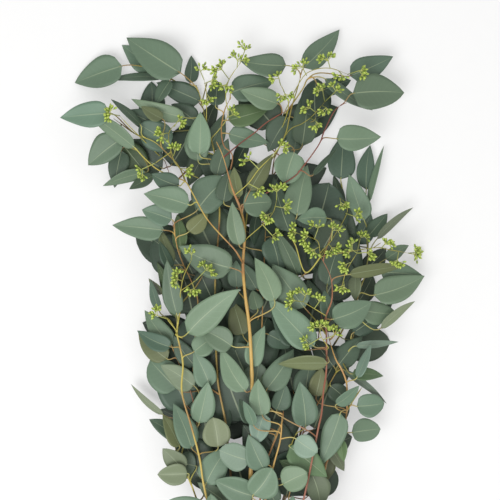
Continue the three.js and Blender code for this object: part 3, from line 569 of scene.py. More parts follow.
class LeafTone(Enum):
    """The kinds of blade, by age and light."""

    BRIGHT = "L"
    MIDDLE = "M"
    DEEP = "D"
    GREEN = "G"
    OLIVE = "O"
    GREY = "Y"
    YOUNG = "P"

    @property
    def colour(self) -> np.ndarray:
        """The blade's colour."""
        return {
            LeafTone.BRIGHT: linear(109, 131, 107),
            LeafTone.MIDDLE: linear(97, 119, 98),
            LeafTone.DEEP: linear(80, 101, 82),
            LeafTone.GREEN: linear(91, 114, 78),
            LeafTone.OLIVE: linear(107, 116, 80),
            LeafTone.GREY: linear(113, 124, 97),
            LeafTone.YOUNG: linear(117, 138, 121),
        }[self]


class BarkTone(Enum):
    """The kinds of bark, by age."""

    TAN = "T"
    ORANGE = "O"
    YELLOW = "Y"
    RED = "R"
    BROWN = "B"

    @property
    def colour(self) -> np.ndarray:
        """The bark's colour."""
        return {
            BarkTone.TAN: linear(198, 170, 92),
            BarkTone.ORANGE: linear(188, 150, 84),
            BarkTone.YELLOW: linear(182, 174, 80),
            BarkTone.RED: linear(122, 66, 58),
            BarkTone.BROWN: linear(160, 108, 78),
        }[self]


class BudTone(Enum):
    """The two ends of a bud and its stalk."""

    STALK = "stalk"
    CUP = "cup"
    CAP = "cap"

    @property
    def colour(self) -> np.ndarray:
        """The colour of this end."""
        return {
            BudTone.STALK: linear(172, 178, 96),
            BudTone.CUP: linear(122, 148, 56),
            BudTone.CAP: linear(180, 196, 90),
        }[self]


# ---- Finishes ----


@dataclass(frozen=True)
class Finish:
    """A procedural surface that takes its base colour from the mesh's tint attribute."""

    name: str
    roughness: float
    specular: float = 0.5
    mottle_scale: float = 60.0
    mottle_detail: float = 4.0
    mottle: float = 0.1
    bump: float = 0.05
    bump_depth: float = 0.4 * MM

    def material(self) -> bpy.types.Material:
        """Builds the material.

        Returns:
            The material, with its node tree.
        """
        material = bpy.data.materials.new(self.name)
        material.use_nodes = True
        tree = material.node_tree
        shader = tree.nodes["Principled BSDF"]
        shader.inputs["Roughness"].default_value = self.roughness
        shader.inputs["Specular IOR Level"].default_value = self.specular
        colour, height = self.pattern(Wiring(tree))
        tree.links.new(colour, shader.inputs["Base Color"])
        bump = tree.nodes.new("ShaderNodeBump")
        bump.inputs["Strength"].default_value = self.bump
        bump.inputs["Distance"].default_value = self.bump_depth
        tree.links.new(height, bump.inputs["Height"])
        tree.links.new(bump.outputs["Normal"], shader.inputs["Normal"])
        return material

    def pattern(self, wiring: Wiring) -> tuple[Socket, Socket]:
        """The surface's colour and height.

        Args:
            wiring: The node tree to build in.

        Returns:
            The colour socket and the height socket.
        """
        return self.mottled(wiring, wiring.attribute("tint"))

    def mottled(self, wiring: Wiring, base: Socket | tuple[float, ...]) -> tuple[Socket, Socket]:
        """A base colour with the finish's mottling over it.

        Args:
            wiring: The node tree to build in.
            base: The base colour.

        Returns:
            The colour socket and the mottling's own socket.
        """
        speckle = wiring.noise(self.mottle_scale, self.mottle_detail)
        shade = wiring.math("MULTIPLY_ADD", speckle, 2.0 * self.mottle, 1.0 - self.mottle)
        return wiring.scaled(base, shade), speckle


@dataclass(frozen=True)
class BladeFinish(Finish):
    """A leaf blade: pale midrib, fine side veins, a thin margin and a waxy bloom."""

    vein_count: float = 9.0
    vein_lean: float = 0.2
    vein_wobble: float = 0.035
    vein_sharpness: float = 14.0
    vein_light: float = 0.05
    vein_depth: float = 0.35
    midrib_width: float = 0.055
    midrib_light: float = 0.5
    margin_from: float = 0.93
    margin_light: float = 0.1
    patch_scale: float = 28.0
    grain_scale: float = 900.0
    grain: float = 0.1
    skin_scale: float = 260.0
    skin_depth: float = 0.35
    midrib_colour: tuple[float, float, float] = (0.36, 0.42, 0.27)

    def pattern(self, wiring: Wiring) -> tuple[Socket, Socket]:
        """The blade's colour and height.

        Args:
            wiring: The node tree to build in.

        Returns:
            The colour socket and the height socket.
        """
        across, along = wiring.map_axes("Blade")
        side = wiring.math("ABSOLUTE", wiring.math("MULTIPLY_ADD", across, 2.0, -1.0))
        drift = self.vein_wobble
        wobble = wiring.math("MULTIPLY_ADD", wiring.noise(90.0, 2.0), drift, -drift / 2)
        lean = wiring.math("MULTIPLY", side, self.vein_lean)
        phase = wiring.math("ADD", wiring.math("SUBTRACT", along, lean), wobble)
        wave = wiring.math("SINE", wiring.math("MULTIPLY", phase, math.tau * self.vein_count))
        vein = wiring.math("POWER", wiring.math("MULTIPLY_ADD", wave, 0.5, 0.5), self.vein_sharpness)
        vein = wiring.math("MULTIPLY", vein, wiring.ramp(side, 1.0, 0.86))
        narrowing = wiring.math("MULTIPLY_ADD", along, -0.6 * self.midrib_width, self.midrib_width)
        midrib = wiring.math("SUBTRACT", 1.0, wiring.math("DIVIDE", side, narrowing))
        midrib = wiring.ramp(midrib, 0.0, 0.7)
        margin = wiring.ramp(side, self.margin_from, 1.0)
        patches = wiring.noise(self.patch_scale, 3.0)
        patches = wiring.math("MULTIPLY_ADD", patches, 2.0 * self.mottle, 1.0 - self.mottle)
        grain = wiring.noise(self.grain_scale, 2.0)
        grain = wiring.math("MULTIPLY_ADD", grain, self.grain, 1.0 - self.grain / 2)
        light = wiring.math("MULTIPLY", patches, grain)
        light = wiring.math("MULTIPLY", light, wiring.math("MULTIPLY_ADD", vein, self.vein_light, 1.0))
        light = wiring.math("MULTIPLY", light, wiring.math("MULTIPLY_ADD", margin, self.margin_light, 1.0))
        blade = wiring.scaled(wiring.attribute("tint"), light)
        colour = wiring.mix(blade, self.midrib_colour, wiring.math("MULTIPLY", midrib, self.midrib_light))
        grooves = wiring.math("MULTIPLY_ADD", midrib, -1.0, wiring.math("MULTIPLY", vein, -self.vein_depth))
        skin = wiring.noise(self.skin_scale, 3.0)
        height = wiring.math("MULTIPLY_ADD", skin, self.skin_depth, grooves)
        return colour, height


@dataclass(frozen=True)
class BarkFinish(Finish):
    """Young bark: long streaks and patches of red over the stem's own tone."""

    patch_scale: float = 20.0
    patch_edge: tuple[float, float] = (0.48, 0.62)
    patch_share: float = 0.6
    patch_colour: tuple[float, float, float] = (0.24, 0.08, 0.045)

    def pattern(self, wiring: Wiring) -> tuple[Socket, Socket]:
        """The bark's colour and height.

        Args:
            wiring: The node tree to build in.

        Returns:
            The colour socket and the height socket.
        """
        own, speckle = self.mottled(wiring, wiring.attribute("tint"))
        patch = wiring.ramp(wiring.noise(self.patch_scale, 3.0), *self.patch_edge)
        colour = wiring.mix(own, self.patch_colour, wiring.math("MULTIPLY", patch, self.patch_share))
        return colour, speckle


@dataclass(frozen=True)
class ElasticFinish(Finish):
    """A natural rubber band: fine moulded lines around it and a dusty bloom."""

    lines: float = 1100.0
    line_light: float = 0.05
    line_depth: float = 0.5

    def pattern(self, wiring: Wiring) -> tuple[Socket, Socket]:
        """The band's colour and height.

        Args:
            wiring: The node tree to build in.

        Returns:
            The colour socket and the height socket.
        """
        along = wiring.object_axis("Y")
        wave = wiring.math("SINE", wiring.math("MULTIPLY", along, math.tau * self.lines))
        dusty, dust = self.mottled(wiring, wiring.attribute("tint"))
        lined = wiring.scaled(dusty, wiring.math("MULTIPLY_ADD", wave, self.line_light, 0.97))
        return lined, wiring.math("MULTIPLY_ADD", wave, self.line_depth, dust)


@dataclass(frozen=True)
class TableFinish(Finish):
    """A plain matt white table, lit a little from below."""

    mottle_detail: float = 2.0
    white: tuple[float, float, float] = (0.5, 0.5, 0.5)
    glow: float = 0.36

    def pattern(self, wiring: Wiring) -> tuple[Socket, Socket]:
        """The table's colour and height.

        Args:
            wiring: The node tree to build in.

        Returns:
            The colour socket and the height socket.
        """
        shader = wiring.tree.nodes["Principled BSDF"]
        shader.inputs["Emission Color"].default_value = (1.0, 1.0, 1.0, 1.0)
        shader.inputs["Emission Strength"].default_value = self.glow
        return self.mottled(wiring, self.white)


@dataclass(frozen=True)
class Wiring:
    """Short ways to add the nodes that the finishes are made of, to a material's node tree."""

    tree: bpy.types.NodeTree

    def feed(self, socket: Socket, value: Socket | float | tuple[float, ...]) -> None:
        """Links a socket, or sets it.

        Args:
            socket: The input to feed.
            value: A socket or a plain value.
        """
        if isinstance(value, Socket):
            self.tree.links.new(value, socket)
        else:
            socket.default_value = value

    def math(self, operation: str, *values: Socket | float) -> Socket:
        """A math node.

        Args:
            operation: The node's operation.
            values: Its inputs, sockets or numbers.

        Returns:
            The node's output.
        """
        node = self.tree.nodes.new("ShaderNodeMath")
        node.operation = operation
        for socket, value in zip(node.inputs, values):
            self.feed(socket, value)
        return node.outputs[0]

    def ramp(self, value: Socket, low: float, high: float) -> Socket:
        """A value taken smoothly from 0 at low to 1 at high.

        Args:
            value: The value.
            low: Where the result is 0.
            high: Where the result is 1.

        Returns:
            The result.
        """
        node = self.tree.nodes.new("ShaderNodeMapRange")
        node.interpolation_type = "SMOOTHSTEP"
        falling = low > high
        self.feed(node.inputs["Value"], value)
        node.inputs["From Min"].default_value = min(low, high)
        node.inputs["From Max"].default_value = max(low, high)
        node.inputs["To Min"].default_value = 1.0 if falling else 0.0
        node.inputs["To Max"].default_value = 0.0 if falling else 1.0
        return node.outputs["Result"]

    def noise(self, scale: float, detail: float) -> Socket:
        """Noise over the object's own coordinates.

        Args:
            scale: Waves in a metre.
            detail: How many finer layers it has.

        Returns:
            The noise, 0 to 1.
        """
        place = self.tree.nodes.new("ShaderNodeTexCoord")
        node = self.tree.nodes.new("ShaderNodeTexNoise")
        node.inputs["Scale"].default_value = scale
        node.inputs["Detail"].default_value = detail
        self.tree.links.new(place.outputs["Object"], node.inputs["Vector"])
        return node.outputs["Fac"]

    def attribute(self, name: str) -> Socket:
        """A colour attribute of the mesh.

        Args:
            name: The attribute's name.

        Returns:
            Its colour.
        """
        node = self.tree.nodes.new("ShaderNodeAttribute")
        node.attribute_name = name
        return node.outputs["Color"]

    def object_axis(self, axis: str) -> Socket:
        """One axis of the object's own coordinates, in metres.

        Args:
            axis: X, Y or Z.

        Returns:
            The axis.
        """
        place = self.tree.nodes.new("ShaderNodeTexCoord")
        split = self.tree.nodes.new("ShaderNodeSeparateXYZ")
        self.tree.links.new(place.outputs["Object"], split.inputs[0])
        return split.outputs[axis]

    def map_axes(self, name: str) -> tuple[Socket, Socket]:
        """The two axes of a UV map.

        Args:
            name: The map's name.

        Returns:
            U and V.
        """
        node = self.tree.nodes.new("ShaderNodeUVMap")
        node.uv_map = name
        split = self.tree.nodes.new("ShaderNodeSeparateXYZ")
        self.tree.links.new(node.outputs["UV"], split.inputs[0])
        return split.outputs["X"], split.outputs["Y"]

    def scaled(self, colour: Socket | tuple[float, ...], share: Socket | float) -> Socket:
        """A colour times a number.

        Args:
            colour: A colour socket or three shares.
            share: The number, or its socket.

        Returns:
            The colour.
        """
        node = self.tree.nodes.new("ShaderNodeVectorMath")
        node.operation = "SCALE"
        self.feed(node.inputs[0], colour)
        self.feed(node.inputs["Scale"], share)
        return node.outputs["Vector"]

    def mix(self, first: Socket, second: tuple[float, float, float], share: Socket) -> Socket:
        """A mix of two colours.

        Args:
            first: The colour at share 0.
            second: The colour at share 1.
            share: The share.

        Returns:
            The colour.
        """
        node = self.tree.nodes.new("ShaderNodeMix")
        node.data_type = "RGBA"
        self.feed(node.inputs["Factor"], share)
        coloured = {socket.name: socket for socket in node.inputs if socket.type == "RGBA"}
        self.feed(coloured["A"], first)
        self.feed(coloured["B"], (*second, 1.0))
        return next(socket for socket in node.outputs if socket.type == "RGBA")


# ---- Variation ----


@dataclass
class Luck:
    """The seeded numbers that the frame's laying uses too, drawn in the same order."""

    seed: int = 20260
    factor: int = 16807
    modulus: int = 2147483647

    def share(self) -> float:
        """The next number, 0 to 1."""
        self.seed = self.seed * self.factor % self.modulus
        return self.seed / self.modulus

    def skip(self, count: int) -> None:
        """Draws numbers that only the frame's laying uses."""
        for _ in range(count):
            self.share()

    def between(self, low: float, high: float) -> float:
        """The next number between two limits."""
        return low + (high - low) * self.share()


# ---- Ways in plan ----


def spread(a: np.ndarray, b: np.ndarray) -> float:
    """The distance of two points in plan."""
    return math.sqrt((b[0] - a[0]) ** 2 + (b[1] - a[1]) ** 2)


def heading(a: np.ndarray, b: np.ndarray) -> np.ndarray:
    """The direction from one point to another in plan."""
    length = spread(a, b) or 1.0
    return np.array([(b[0] - a[0]) / length, (b[1] - a[1]) / length])


def smooth_way(points: list[np.ndarray], step: float) -> Way:
    """A smooth way through points.

    Args:
        points: The points, in plan or in space.
        step: The distance between the way's points.

    Returns:
        The way.
    """
    points = [np.array(point, float) for point in points]
    way = [points[0]]
    for i in range(len(points) - 1):
        before = points[max(i - 1, 0)]
        start, stop = points[i], points[i + 1]
        after = points[min(i + 2, len(points) - 1)]
        parts = max(1, math.floor(spread(start, stop) / step + 0.5))
        pull, push, rise = stop - before, after - start, stop - start
        for k in range(1, parts + 1):
            t = k / parts
            bend = pull / 2 + push / 2 - 2 * rise
            way.append(start + t * (pull / 2 + t * (3 * rise - pull - push / 2 + t * bend)))
    return np.array(way)


def evened(way: Way, count: int) -> Way:
    """A way with its points evenly spaced.

    Args:
        way: The way, in space.
        count: How many points it gets.

    Returns:
        The new way.
    """
    fine = smooth_way(list(way), 3.0)
    steps = np.sqrt(((fine[1:] - fine[:-1]) ** 2).sum(1))
    reach = np.concatenate([[0.0], np.cumsum(steps)])
    marks = np.linspace(0.0, reach[-1], count)
    return np.stack([np.interp(marks, reach, fine[:, axis]) for axis in range(3)], 1)


# ---- Relief ----


@dataclass
class Relief:
    """Heights of what already lies on the table, in small square cells."""

    cell: float = 2.0
    west: float = -300.37
    south: float = -99.41
    columns: int = 300
    rows: int = 400
    clearance: float = 1.1
    tops: np.ndarray = field(init=False)

    def __post_init__(self) -> None:
        """Starts with an empty table."""
        self.tops = np.full(self.columns * self.rows, -self.clearance)

    def cells(self, x: np.ndarray, y: np.ndarray) -> tuple[np.ndarray, np.ndarray]:
        """The columns and rows of places in plan."""
        column = np.floor((np.asarray(x) - self.west) / self.cell).astype(int)
        row = np.floor((np.asarray(y) - self.south) / self.cell).astype(int)
        return column, row

    def top(self, x: np.ndarray, y: np.ndarray) -> np.ndarray:
        """The heights at places in plan."""
        column, row = self.cells(x, y)
        return self.tops[row * self.columns + column]

    def lift(self, x: np.ndarray, y: np.ndarray, height: np.ndarray) -> None:
        """Raises the cells around places to at least a height.

        Args:
            x: The places' x.
            y: The places' y.
            height: The height at each place.
        """
        column, row = self.cells(x, y)
        for across in (-1, 0, 1):
            for along in (-1, 0, 1):
                np.maximum.at(self.tops, (row + along) * self.columns + column + across, height)


# ---- Stems and twigs ----


@dataclass
class Wood:
    """Sizes of the stems and twigs, and how they lie."""

    stem_radius: float = 3.0
    stem_tip_radius: float = 1.3
    stem_step: float = 32.0
    stem_slope: float = 0.22
    twig_radius: float = 1.3
    twig_tip_radius: float = 0.9
    twig_step: float = 22.0
    twig_slope: float = 0.2
    stalk_radius: float = 0.8
    stalk_step: float = 21.0
    stalk_shortest: float = 6.0
    stalk_lean: float = 0.7
    stalk_slope: float = 0.9
    stalk_bend: float = 0.4
    cut_end: float = -62.0
    cut_stagger: float = 3.0
    straight_until: float = 26.0
    fanned_from: float = 90.0
    stem_gap: float = 0.6
    band_thickness: float = 1.6
    band_fit: float = 0.5

    @property
    def pitch(self) -> float:
        """Between the middles of neighbouring stems in the band."""
        return 2 * self.stem_radius + self.stem_gap

    def row_height(self, row: int) -> float:
        """The height of a row of stems in the band."""
        rise = self.pitch * math.sqrt(3) / 2
        return self.band_thickness + self.band_fit + self.stem_radius + row * rise


@dataclass
class Table:
    """The table, and the laying of wood and stalks on it."""

    wood: Wood
    relief: Relief = field(default_factory=Relief)
    luck: Luck = field(default_factory=Luck)
    stems: list[Way] = field(default_factory=list)

    def over_stems(self, x: float, y: float) -> float:
        """The height that a stem needs over the stems already laid, in the band and before the fan.

        Args:
            x: Its place across.
            y: Its place along.

        Returns:
            The height of its middle.
        """
        pitch = self.wood.pitch
        height = -math.inf
        for stem in self.stems:
            for start, stop in zip(stem[:-1], stem[1:]):
                if y < start[1] or y > stop[1]:
                    continue
                at = start + (stop - start) * ((y - start[1]) / (stop[1] - start[1]))
                apart = abs(at[0] - x)
                if apart < pitch:
                    height = max(height, at[2] + math.sqrt(pitch**2 - apart**2) - 0.001)
        return height

    def height_between(self, a: np.ndarray, b: np.ndarray, radius: float, row: int | None) -> float:
        """The greatest height that a round piece needs between two points.

        Args:
            a: The first point in plan.
            b: The second point in plan.
            radius: The piece's radius.
            row: The stem's row in the band, if it is a stem.

        Returns:
            The height of its middle.
        """
        parts = math.ceil(spread(a, b) / self.relief.cell) or 1
        dx, dy = heading(a, b)
        height = -math.inf
        for k in range(parts + 1):
            x, y = a[:2] + (b[:2] - a[:2]) * (k / parts)
            if row is not None and y < self.wood.fanned_from:
                height = max(height, self.over_stems(x, y), self.wood.row_height(row))
                continue
            offs = np.array([-radius, 0.0, radius])
            tops = self.relief.top(x - dy * offs, y + dx * offs)
            height = max(height, float(tops.max()) + self.relief.clearance + radius)
        return height

    def lay_way(
        self,
        way: Way,
        radius: float,
        slope: float,
        row: int | None = None,
        first_height: float | None = None,
    ) -> Way:
        """Gives a way its heights.

        Args:
            way: The way in plan.
            radius: The wood's radius.
            slope: Its steepest rise.
            row: The stem's row in the band, if it is a stem.
            first_height: The height of its first point, if that is known.

        Returns:
            The way in space.
        """
        gaps = [self.height_between(a, b, radius, row) for a, b in zip(way[:-1], way[1:])]
        heights = [max(pair) for pair in zip([-math.inf, *gaps], [*gaps, -math.inf])]
        for i in range(1, len(way)):
            heights[i] = max(heights[i], heights[i - 1] - slope * spread(way[i - 1], way[i]))
        for i in range(len(way) - 2, -1, -1):
            heights[i] = max(heights[i], heights[i + 1] - slope * spread(way[i], way[i + 1]))
        if first_height is not None:
            heights[0] = first_height
        if row is not None:
            straight = self.wood.straight_until
            heights = [self.wood.row_height(row) if p[1] <= straight else h for p, h in zip(way, heights)]
        return np.column_stack([way[:, 0], way[:, 1], heights])

    def lift_along(self, way: Way, radius: float) -> None:
        """Adds a round piece to the relief.

        Args:
            way: Its way in space.
            radius: Its radius.
        """
        for start, stop in zip(way[:-1], way[1:]):
            dx, dy = heading(start, stop)
            parts = math.ceil(spread(start, stop) / self.relief.cell) or 1
            points = start + (stop - start) * (np.arange(parts + 1) / parts)[:, None]
            for side in (-radius, 0.0, radius):
                x, y = points[:, 0] - dy * side, points[:, 1] + dx * side
                self.relief.lift(x, y, points[:, 2] + radius)

    def root_for(
        self, base: np.ndarray, forward: np.ndarray, ways: list[Way], shortest: float
    ) -> np.ndarray:
        """The point of the wood that a stalk grows from.

        Args:
            base: Where the stalk ends.
            forward: The direction of what it carries.
            ways: The wood's ways.
            shortest: The stalk's least reach.

        Returns:
            The point, near the base and behind it.
        """
        best, least = ways[0][0], math.inf
        for way in ways:
            for start, stop in zip(way[:-1], way[1:]):
                for share in (0.0, 0.25, 0.5, 0.75, 1.0):
                    point = start + (stop - start) * share
                    ahead = (point[0] - base[0]) * forward[0] + (point[1] - base[1]) * forward[1]
                    cost = abs(spread(base, point) - shortest) + max(0.0, ahead)
                    if cost < least:
                        best, least = point, cost
        return best

    def lay_stalk(self, root: np.ndarray, end: np.ndarray, forward: np.ndarray) -> Way:
        """The way of a stalk, added to the relief.

        Args:
            root: Where it grows from the wood.
            end: Where it ends.
            forward: The direction of what it carries.

        Returns:
            The way in space.
        """
        wood = self.wood
        reach = spread(root, end)
        bend = end[:2] - forward * reach * wood.stalk_bend
        parts = max(1, math.floor(reach / wood.stalk_step + 0.5))
        way = [root]
        for k in range(1, parts):
            t = k / parts
            near = root[:2] + (bend - root[:2]) * t
            far = bend + (end[:2] - bend) * t
            x, y = near + (far - near) * t
            straight = root[2] + (end[2] - root[2]) * t
            lifted = float(self.relief.top(x, y)) + self.relief.clearance + wood.stalk_radius
            way.append(np.array([x, y, max(straight, lifted)]))
        way.append(end)
        self.lift_along(np.array(way), wood.stalk_radius)
        return np.array(way)


# ---- Leaves ----


@dataclass(frozen=True)
class Blades:
    """How blades are shaped and how they lie."""

    thickness: float = 0.9
    arch: float = 0.045
    cup: float = 0.12
    bow: float = 0.05
    sag: float = 3.0
    slopes: tuple[float, ...] = (-0.26, -0.13, 0.0, 0.13, 0.26)
    narrow: float = 20.0
    full_width: float = 30.0
    upright_share: float = 0.35
    slope_cost: float = 6.0
    own_along: tuple[float, float] = (-0.12, 0.06)
    own_across: tuple[float, float] = (-0.1, 0.1)
    hang_share: float = 0.15
    sampling: float = 0.9

    def half_width(self, u: np.ndarray, width: float) -> np.ndarray:
        """Half the frame's width of a blade at shares of its length."""
        return np.sin(np.pi * u**0.8).clip(0.0) ** 0.55 * width / 2


@dataclass
class Blade:
    """One laid blade."""

    base: np.ndarray
    forward: np.ndarray
    length: float
    width: float
    bow: float
    height: float
    along_slope: float
    across_slope: float
    tone: LeafTone
    sizes: Blades

    def rise(self, u: np.ndarray, across: np.ndarray, half: np.ndarray) -> np.ndarray:
        """The height of points over the blade's own height.

        Args:
            u: Their shares of the length.
            across: Their distances from the midrib.
            half: Half the widths there.

        Returns:
            The heights.
        """
        share = across / np.maximum(half, 1e-6)
        slope = (u - 0.5) * self.length * self.along_slope + across * self.across_slope
        arch = self.sizes.arch * self.length * 4 * u * (1 - u)
        return slope + arch + self.sizes.cup * half * share**2

    def place(self, u: np.ndarray, across: np.ndarray) -> tuple[np.ndarray, np.ndarray]:
        """The places in plan of points of the blade.

        Args:
            u: Their shares of the length.
            across: Their distances from the midrib.

        Returns:
            Their x and y.
        """
        dx, dy = self.forward
        along = u * self.length
        side = across + self.bow * 4 * u * (1 - u)
        return self.base[0] + dx * along - dy * side, self.base[1] + dy * along + dx * side

    @property
    def foot(self) -> np.ndarray:
        """Where the stalk meets the blade."""
        return np.array([*self.base, self.height - 0.5 * self.length * self.along_slope])


@dataclass(frozen=True)
class BladeLayer:
    """Finds how each blade rests on the table's relief."""

    table: Table
    sizes: Blades = field(default_factory=Blades)

    def lay(self, leaf: tuple, wood_point: np.ndarray | None) -> Blade:
        """Lays one blade and adds it to the relief.

        Args:
            leaf: Its base x, base y, tip x, tip y, width in plan and tone.
            wood_point: The point of the wood that holds it, if it is laid over its wood.

        Returns:
            The blade.
        """
        base_x, base_y, tip_x, tip_y, width, tone = leaf
        sizes, luck, relief = self.sizes, self.table.luck, self.table.relief
        base, tip = np.array([base_x, base_y], float), np.array([tip_x, tip_y], float)
        length = spread(base, tip)
        bow = luck.between(-sizes.bow, sizes.bow) * length
        own_along = luck.between(*sizes.own_along)
        own_across = luck.between(*sizes.own_across)
        side = -1 if luck.share() < 0.5 else 1
        missing = max(0.0, sizes.narrow - width) / sizes.narrow
        true_width = width + (sizes.full_width - width) * sizes.upright_share
        edge = side * math.sqrt((true_width / width) ** 2 - 1) if missing > 0 else 0.0
        forward = heading(base, tip)
        blade = Blade(base, forward, length, width, bow, 0.0, 0.0, 0.0, LeafTone(tone), sizes)
        rows = math.ceil(length / (sizes.sampling * relief.cell))
        columns = math.ceil(width / (sizes.sampling * relief.cell))
        u, v = np.meshgrid(np.arange(rows + 1) / rows, 2 * np.arange(columns + 1) / columns - 1)
        half = sizes.half_width(u, width)
        across = v * half
        x, y = blade.place(u, across)
        tops = relief.top(x, y) + relief.clearance
        still = blade.rise(u, across, half)
        best = math.inf
        choice = (0.0, 0.0, 0.0, 0.0)
        for along_step in sizes.slopes:
            for across_step in sizes.slopes:
                along = own_along + along_step
                roll = edge * (1 + across_step) if edge else own_across + across_step
                thickness = sizes.thickness * math.sqrt(1 + along**2 + roll**2)
                rise = still + (u - 0.5) * length * along + across * roll
                height = float((tops - rise).max()) + thickness / 2
                if wood_point is not None:
                    hang = sizes.sag + sizes.hang_share * spread(base, wood_point)
                    height = max(height, wood_point[2] - hang + along * length / 2)
                cost = height + sizes.slope_cost * (abs(along_step) + abs(across_step))
                if cost < best:
                    best = cost
                    choice = (height, along, roll, thickness)
        blade.height, blade.along_slope, blade.across_slope, thickness = choice
        upper = blade.height + blade.rise(u, across, half) + thickness / 2
        relief.lift(x.ravel(), y.ravel(), upper.ravel())
        return blade


# ---- Shapes that repeat ----


@dataclass
class Pattern:
    """A shape modelled once: its points, faces and the map of its surface."""

    points: np.ndarray
    faces: list[tuple[int, ...]]
    mapped: np.ndarray | None = None


def put_aside(name: str) -> bpy.types.Object:
    """Names the active new object and leaves edit mode.

    Args:
        name: The object's name.

    Returns:
        The object.
    """
    made = bpy.context.active_object
    made.name = name
    if made.mode == "EDIT":
        bpy.ops.object.mode_set(mode="OBJECT")
    return made


def taken(made: bpy.types.Object, mapped: bool = False) -> Pattern:
    """Reads a modelled object as a pattern and removes it.

    Args:
        made: The object.
        mapped: Whether its UV map is kept.

    Returns:
        The pattern.
    """
    mesh = made.data
    points = np.empty(len(mesh.vertices) * 3)
    mesh.vertices.foreach_get("co", points)
    uv = None
    if mapped:
        uv = np.empty(len(mesh.loops) * 2)
        mesh.uv_layers[0].data.foreach_get("uv", uv)
        uv = uv.reshape(-1, 2)
    pattern = Pattern(points.reshape(-1, 3), [tuple(face.vertices) for face in mesh.polygons], uv)
    bpy.data.objects.remove(made)
    bpy.data.meshes.remove(mesh)
    return pattern


def select_edges(mesh: bpy.types.Mesh, wanted: Callable[[Vector, Vector], bool]) -> None:
    """Selects edges in object mode by a test of their two points.

    Args:
        mesh: The mesh.
        wanted: Takes the two points and says whether the edge is selected.
    """
    for face in mesh.polygons:
        face.select = False
    for vertex in mesh.vertices:
        vertex.select = False
    for edge in mesh.edges:
        first, second = (mesh.vertices[i] for i in edge.vertices)
        edge.select = wanted(first.co, second.co)
        if edge.select:
            first.select = second.select = True


def model_rod(name: str, sides: int, rings: int) -> Pattern:
    """A round rod from 0 to 1 along Z, with rings to bend it at.

    Args:
        name: Its name while it is modelled.
        sides: How many sides it has.
        rings: How many parts it has along its length.

    Returns:
        The pattern.
    """
    bpy.ops.object.select_all(action="DESELECT")
    bpy.ops.mesh.primitive_cylinder_add(vertices=sides, radius=1.0, depth=1.0, location=(0, 0, 0.5))
    bpy.ops.object.transform_apply(location=True, rotation=False, scale=False)
    made = put_aside(name)
    select_edges(made.data, lambda a, b: abs(a.z - b.z) > 0.5)
    bpy.ops.object.mode_set(mode="EDIT")
    bpy.ops.mesh.select_mode(type="EDGE")
    bpy.ops.mesh.subdivide(number_cuts=rings - 1)
    bpy.ops.mesh.select_all(action="SELECT")
    bpy.ops.mesh.normals_make_consistent(inside=False)
    bpy.ops.object.mode_set(mode="OBJECT")
    return taken(made)


def model_blade(rows: int, columns: int) -> Pattern:
    """A flat closed blade: X from -1 to 1 across, Y from 0 to 1 along, Z half its thickness.

    Args:
        rows: How many parts it has along.
        columns: How many parts it has across.

    Returns:
        The pattern, with its map.
    """
    bpy.ops.object.select_all(action="DESELECT")
    bpy.ops.mesh.primitive_grid_add(x_subdivisions=columns, y_subdivisions=rows, size=2.0)
    made = put_aside("blade")
    bpy.ops.object.mode_set(mode="EDIT")
    bpy.ops.mesh.select_all(action="SELECT")
    bpy.ops.transform.resize(value=(1.0, 0.5, 1.0))
    bpy.ops.transform.translate(value=(0.0, 0.5, 0.0))
    bpy.ops.object.mode_set(mode="OBJECT")
    wall = made.modifiers.new("wall", "SOLIDIFY")
    wall.thickness = 1.0
    wall.offset = 0.0
    bpy.ops.object.modifier_apply(modifier=wall.name)
    return taken(made, mapped=True)


def model_bud() -> Pattern:
    """A club-shaped bud from 0 to 1 along Z: a thin foot, a cup, a shoulder and a blunt cap.

    Returns:
        The pattern.
    """
    bpy.ops.object.select_all(action="DESELECT")
    bpy.ops.mesh.primitive_cylinder_add(vertices=7, radius=0.35, depth=0.34, location=(0, 0, 0.17))
    bpy.ops.object.transform_apply(location=True, rotation=False, scale=False)
    made = put_aside("bud")
    for face in made.data.polygons:
        face.select = face.normal.z > 0.9
    bpy.ops.object.mode_set(mode="EDIT")
    bpy.ops.mesh.select_mode(type="FACE")
    for rise, share in ((0.16, 2.3), (0.16, 1.24), (0.12, 0.86), (0.14, 0.62), (0.08, 0.3)):
        bpy.ops.mesh.extrude_region_move(TRANSFORM_OT_translate={"value": (0.0, 0.0, rise)})
        bpy.ops.transform.resize(value=(share, share, 1.0))
    bpy.ops.mesh.select_all(action="SELECT")
    bpy.ops.mesh.normals_make_consistent(inside=False)
    bpy.ops.object.mode_set(mode="OBJECT")
    return taken(made)


# ---- Meshes of the pieces ----


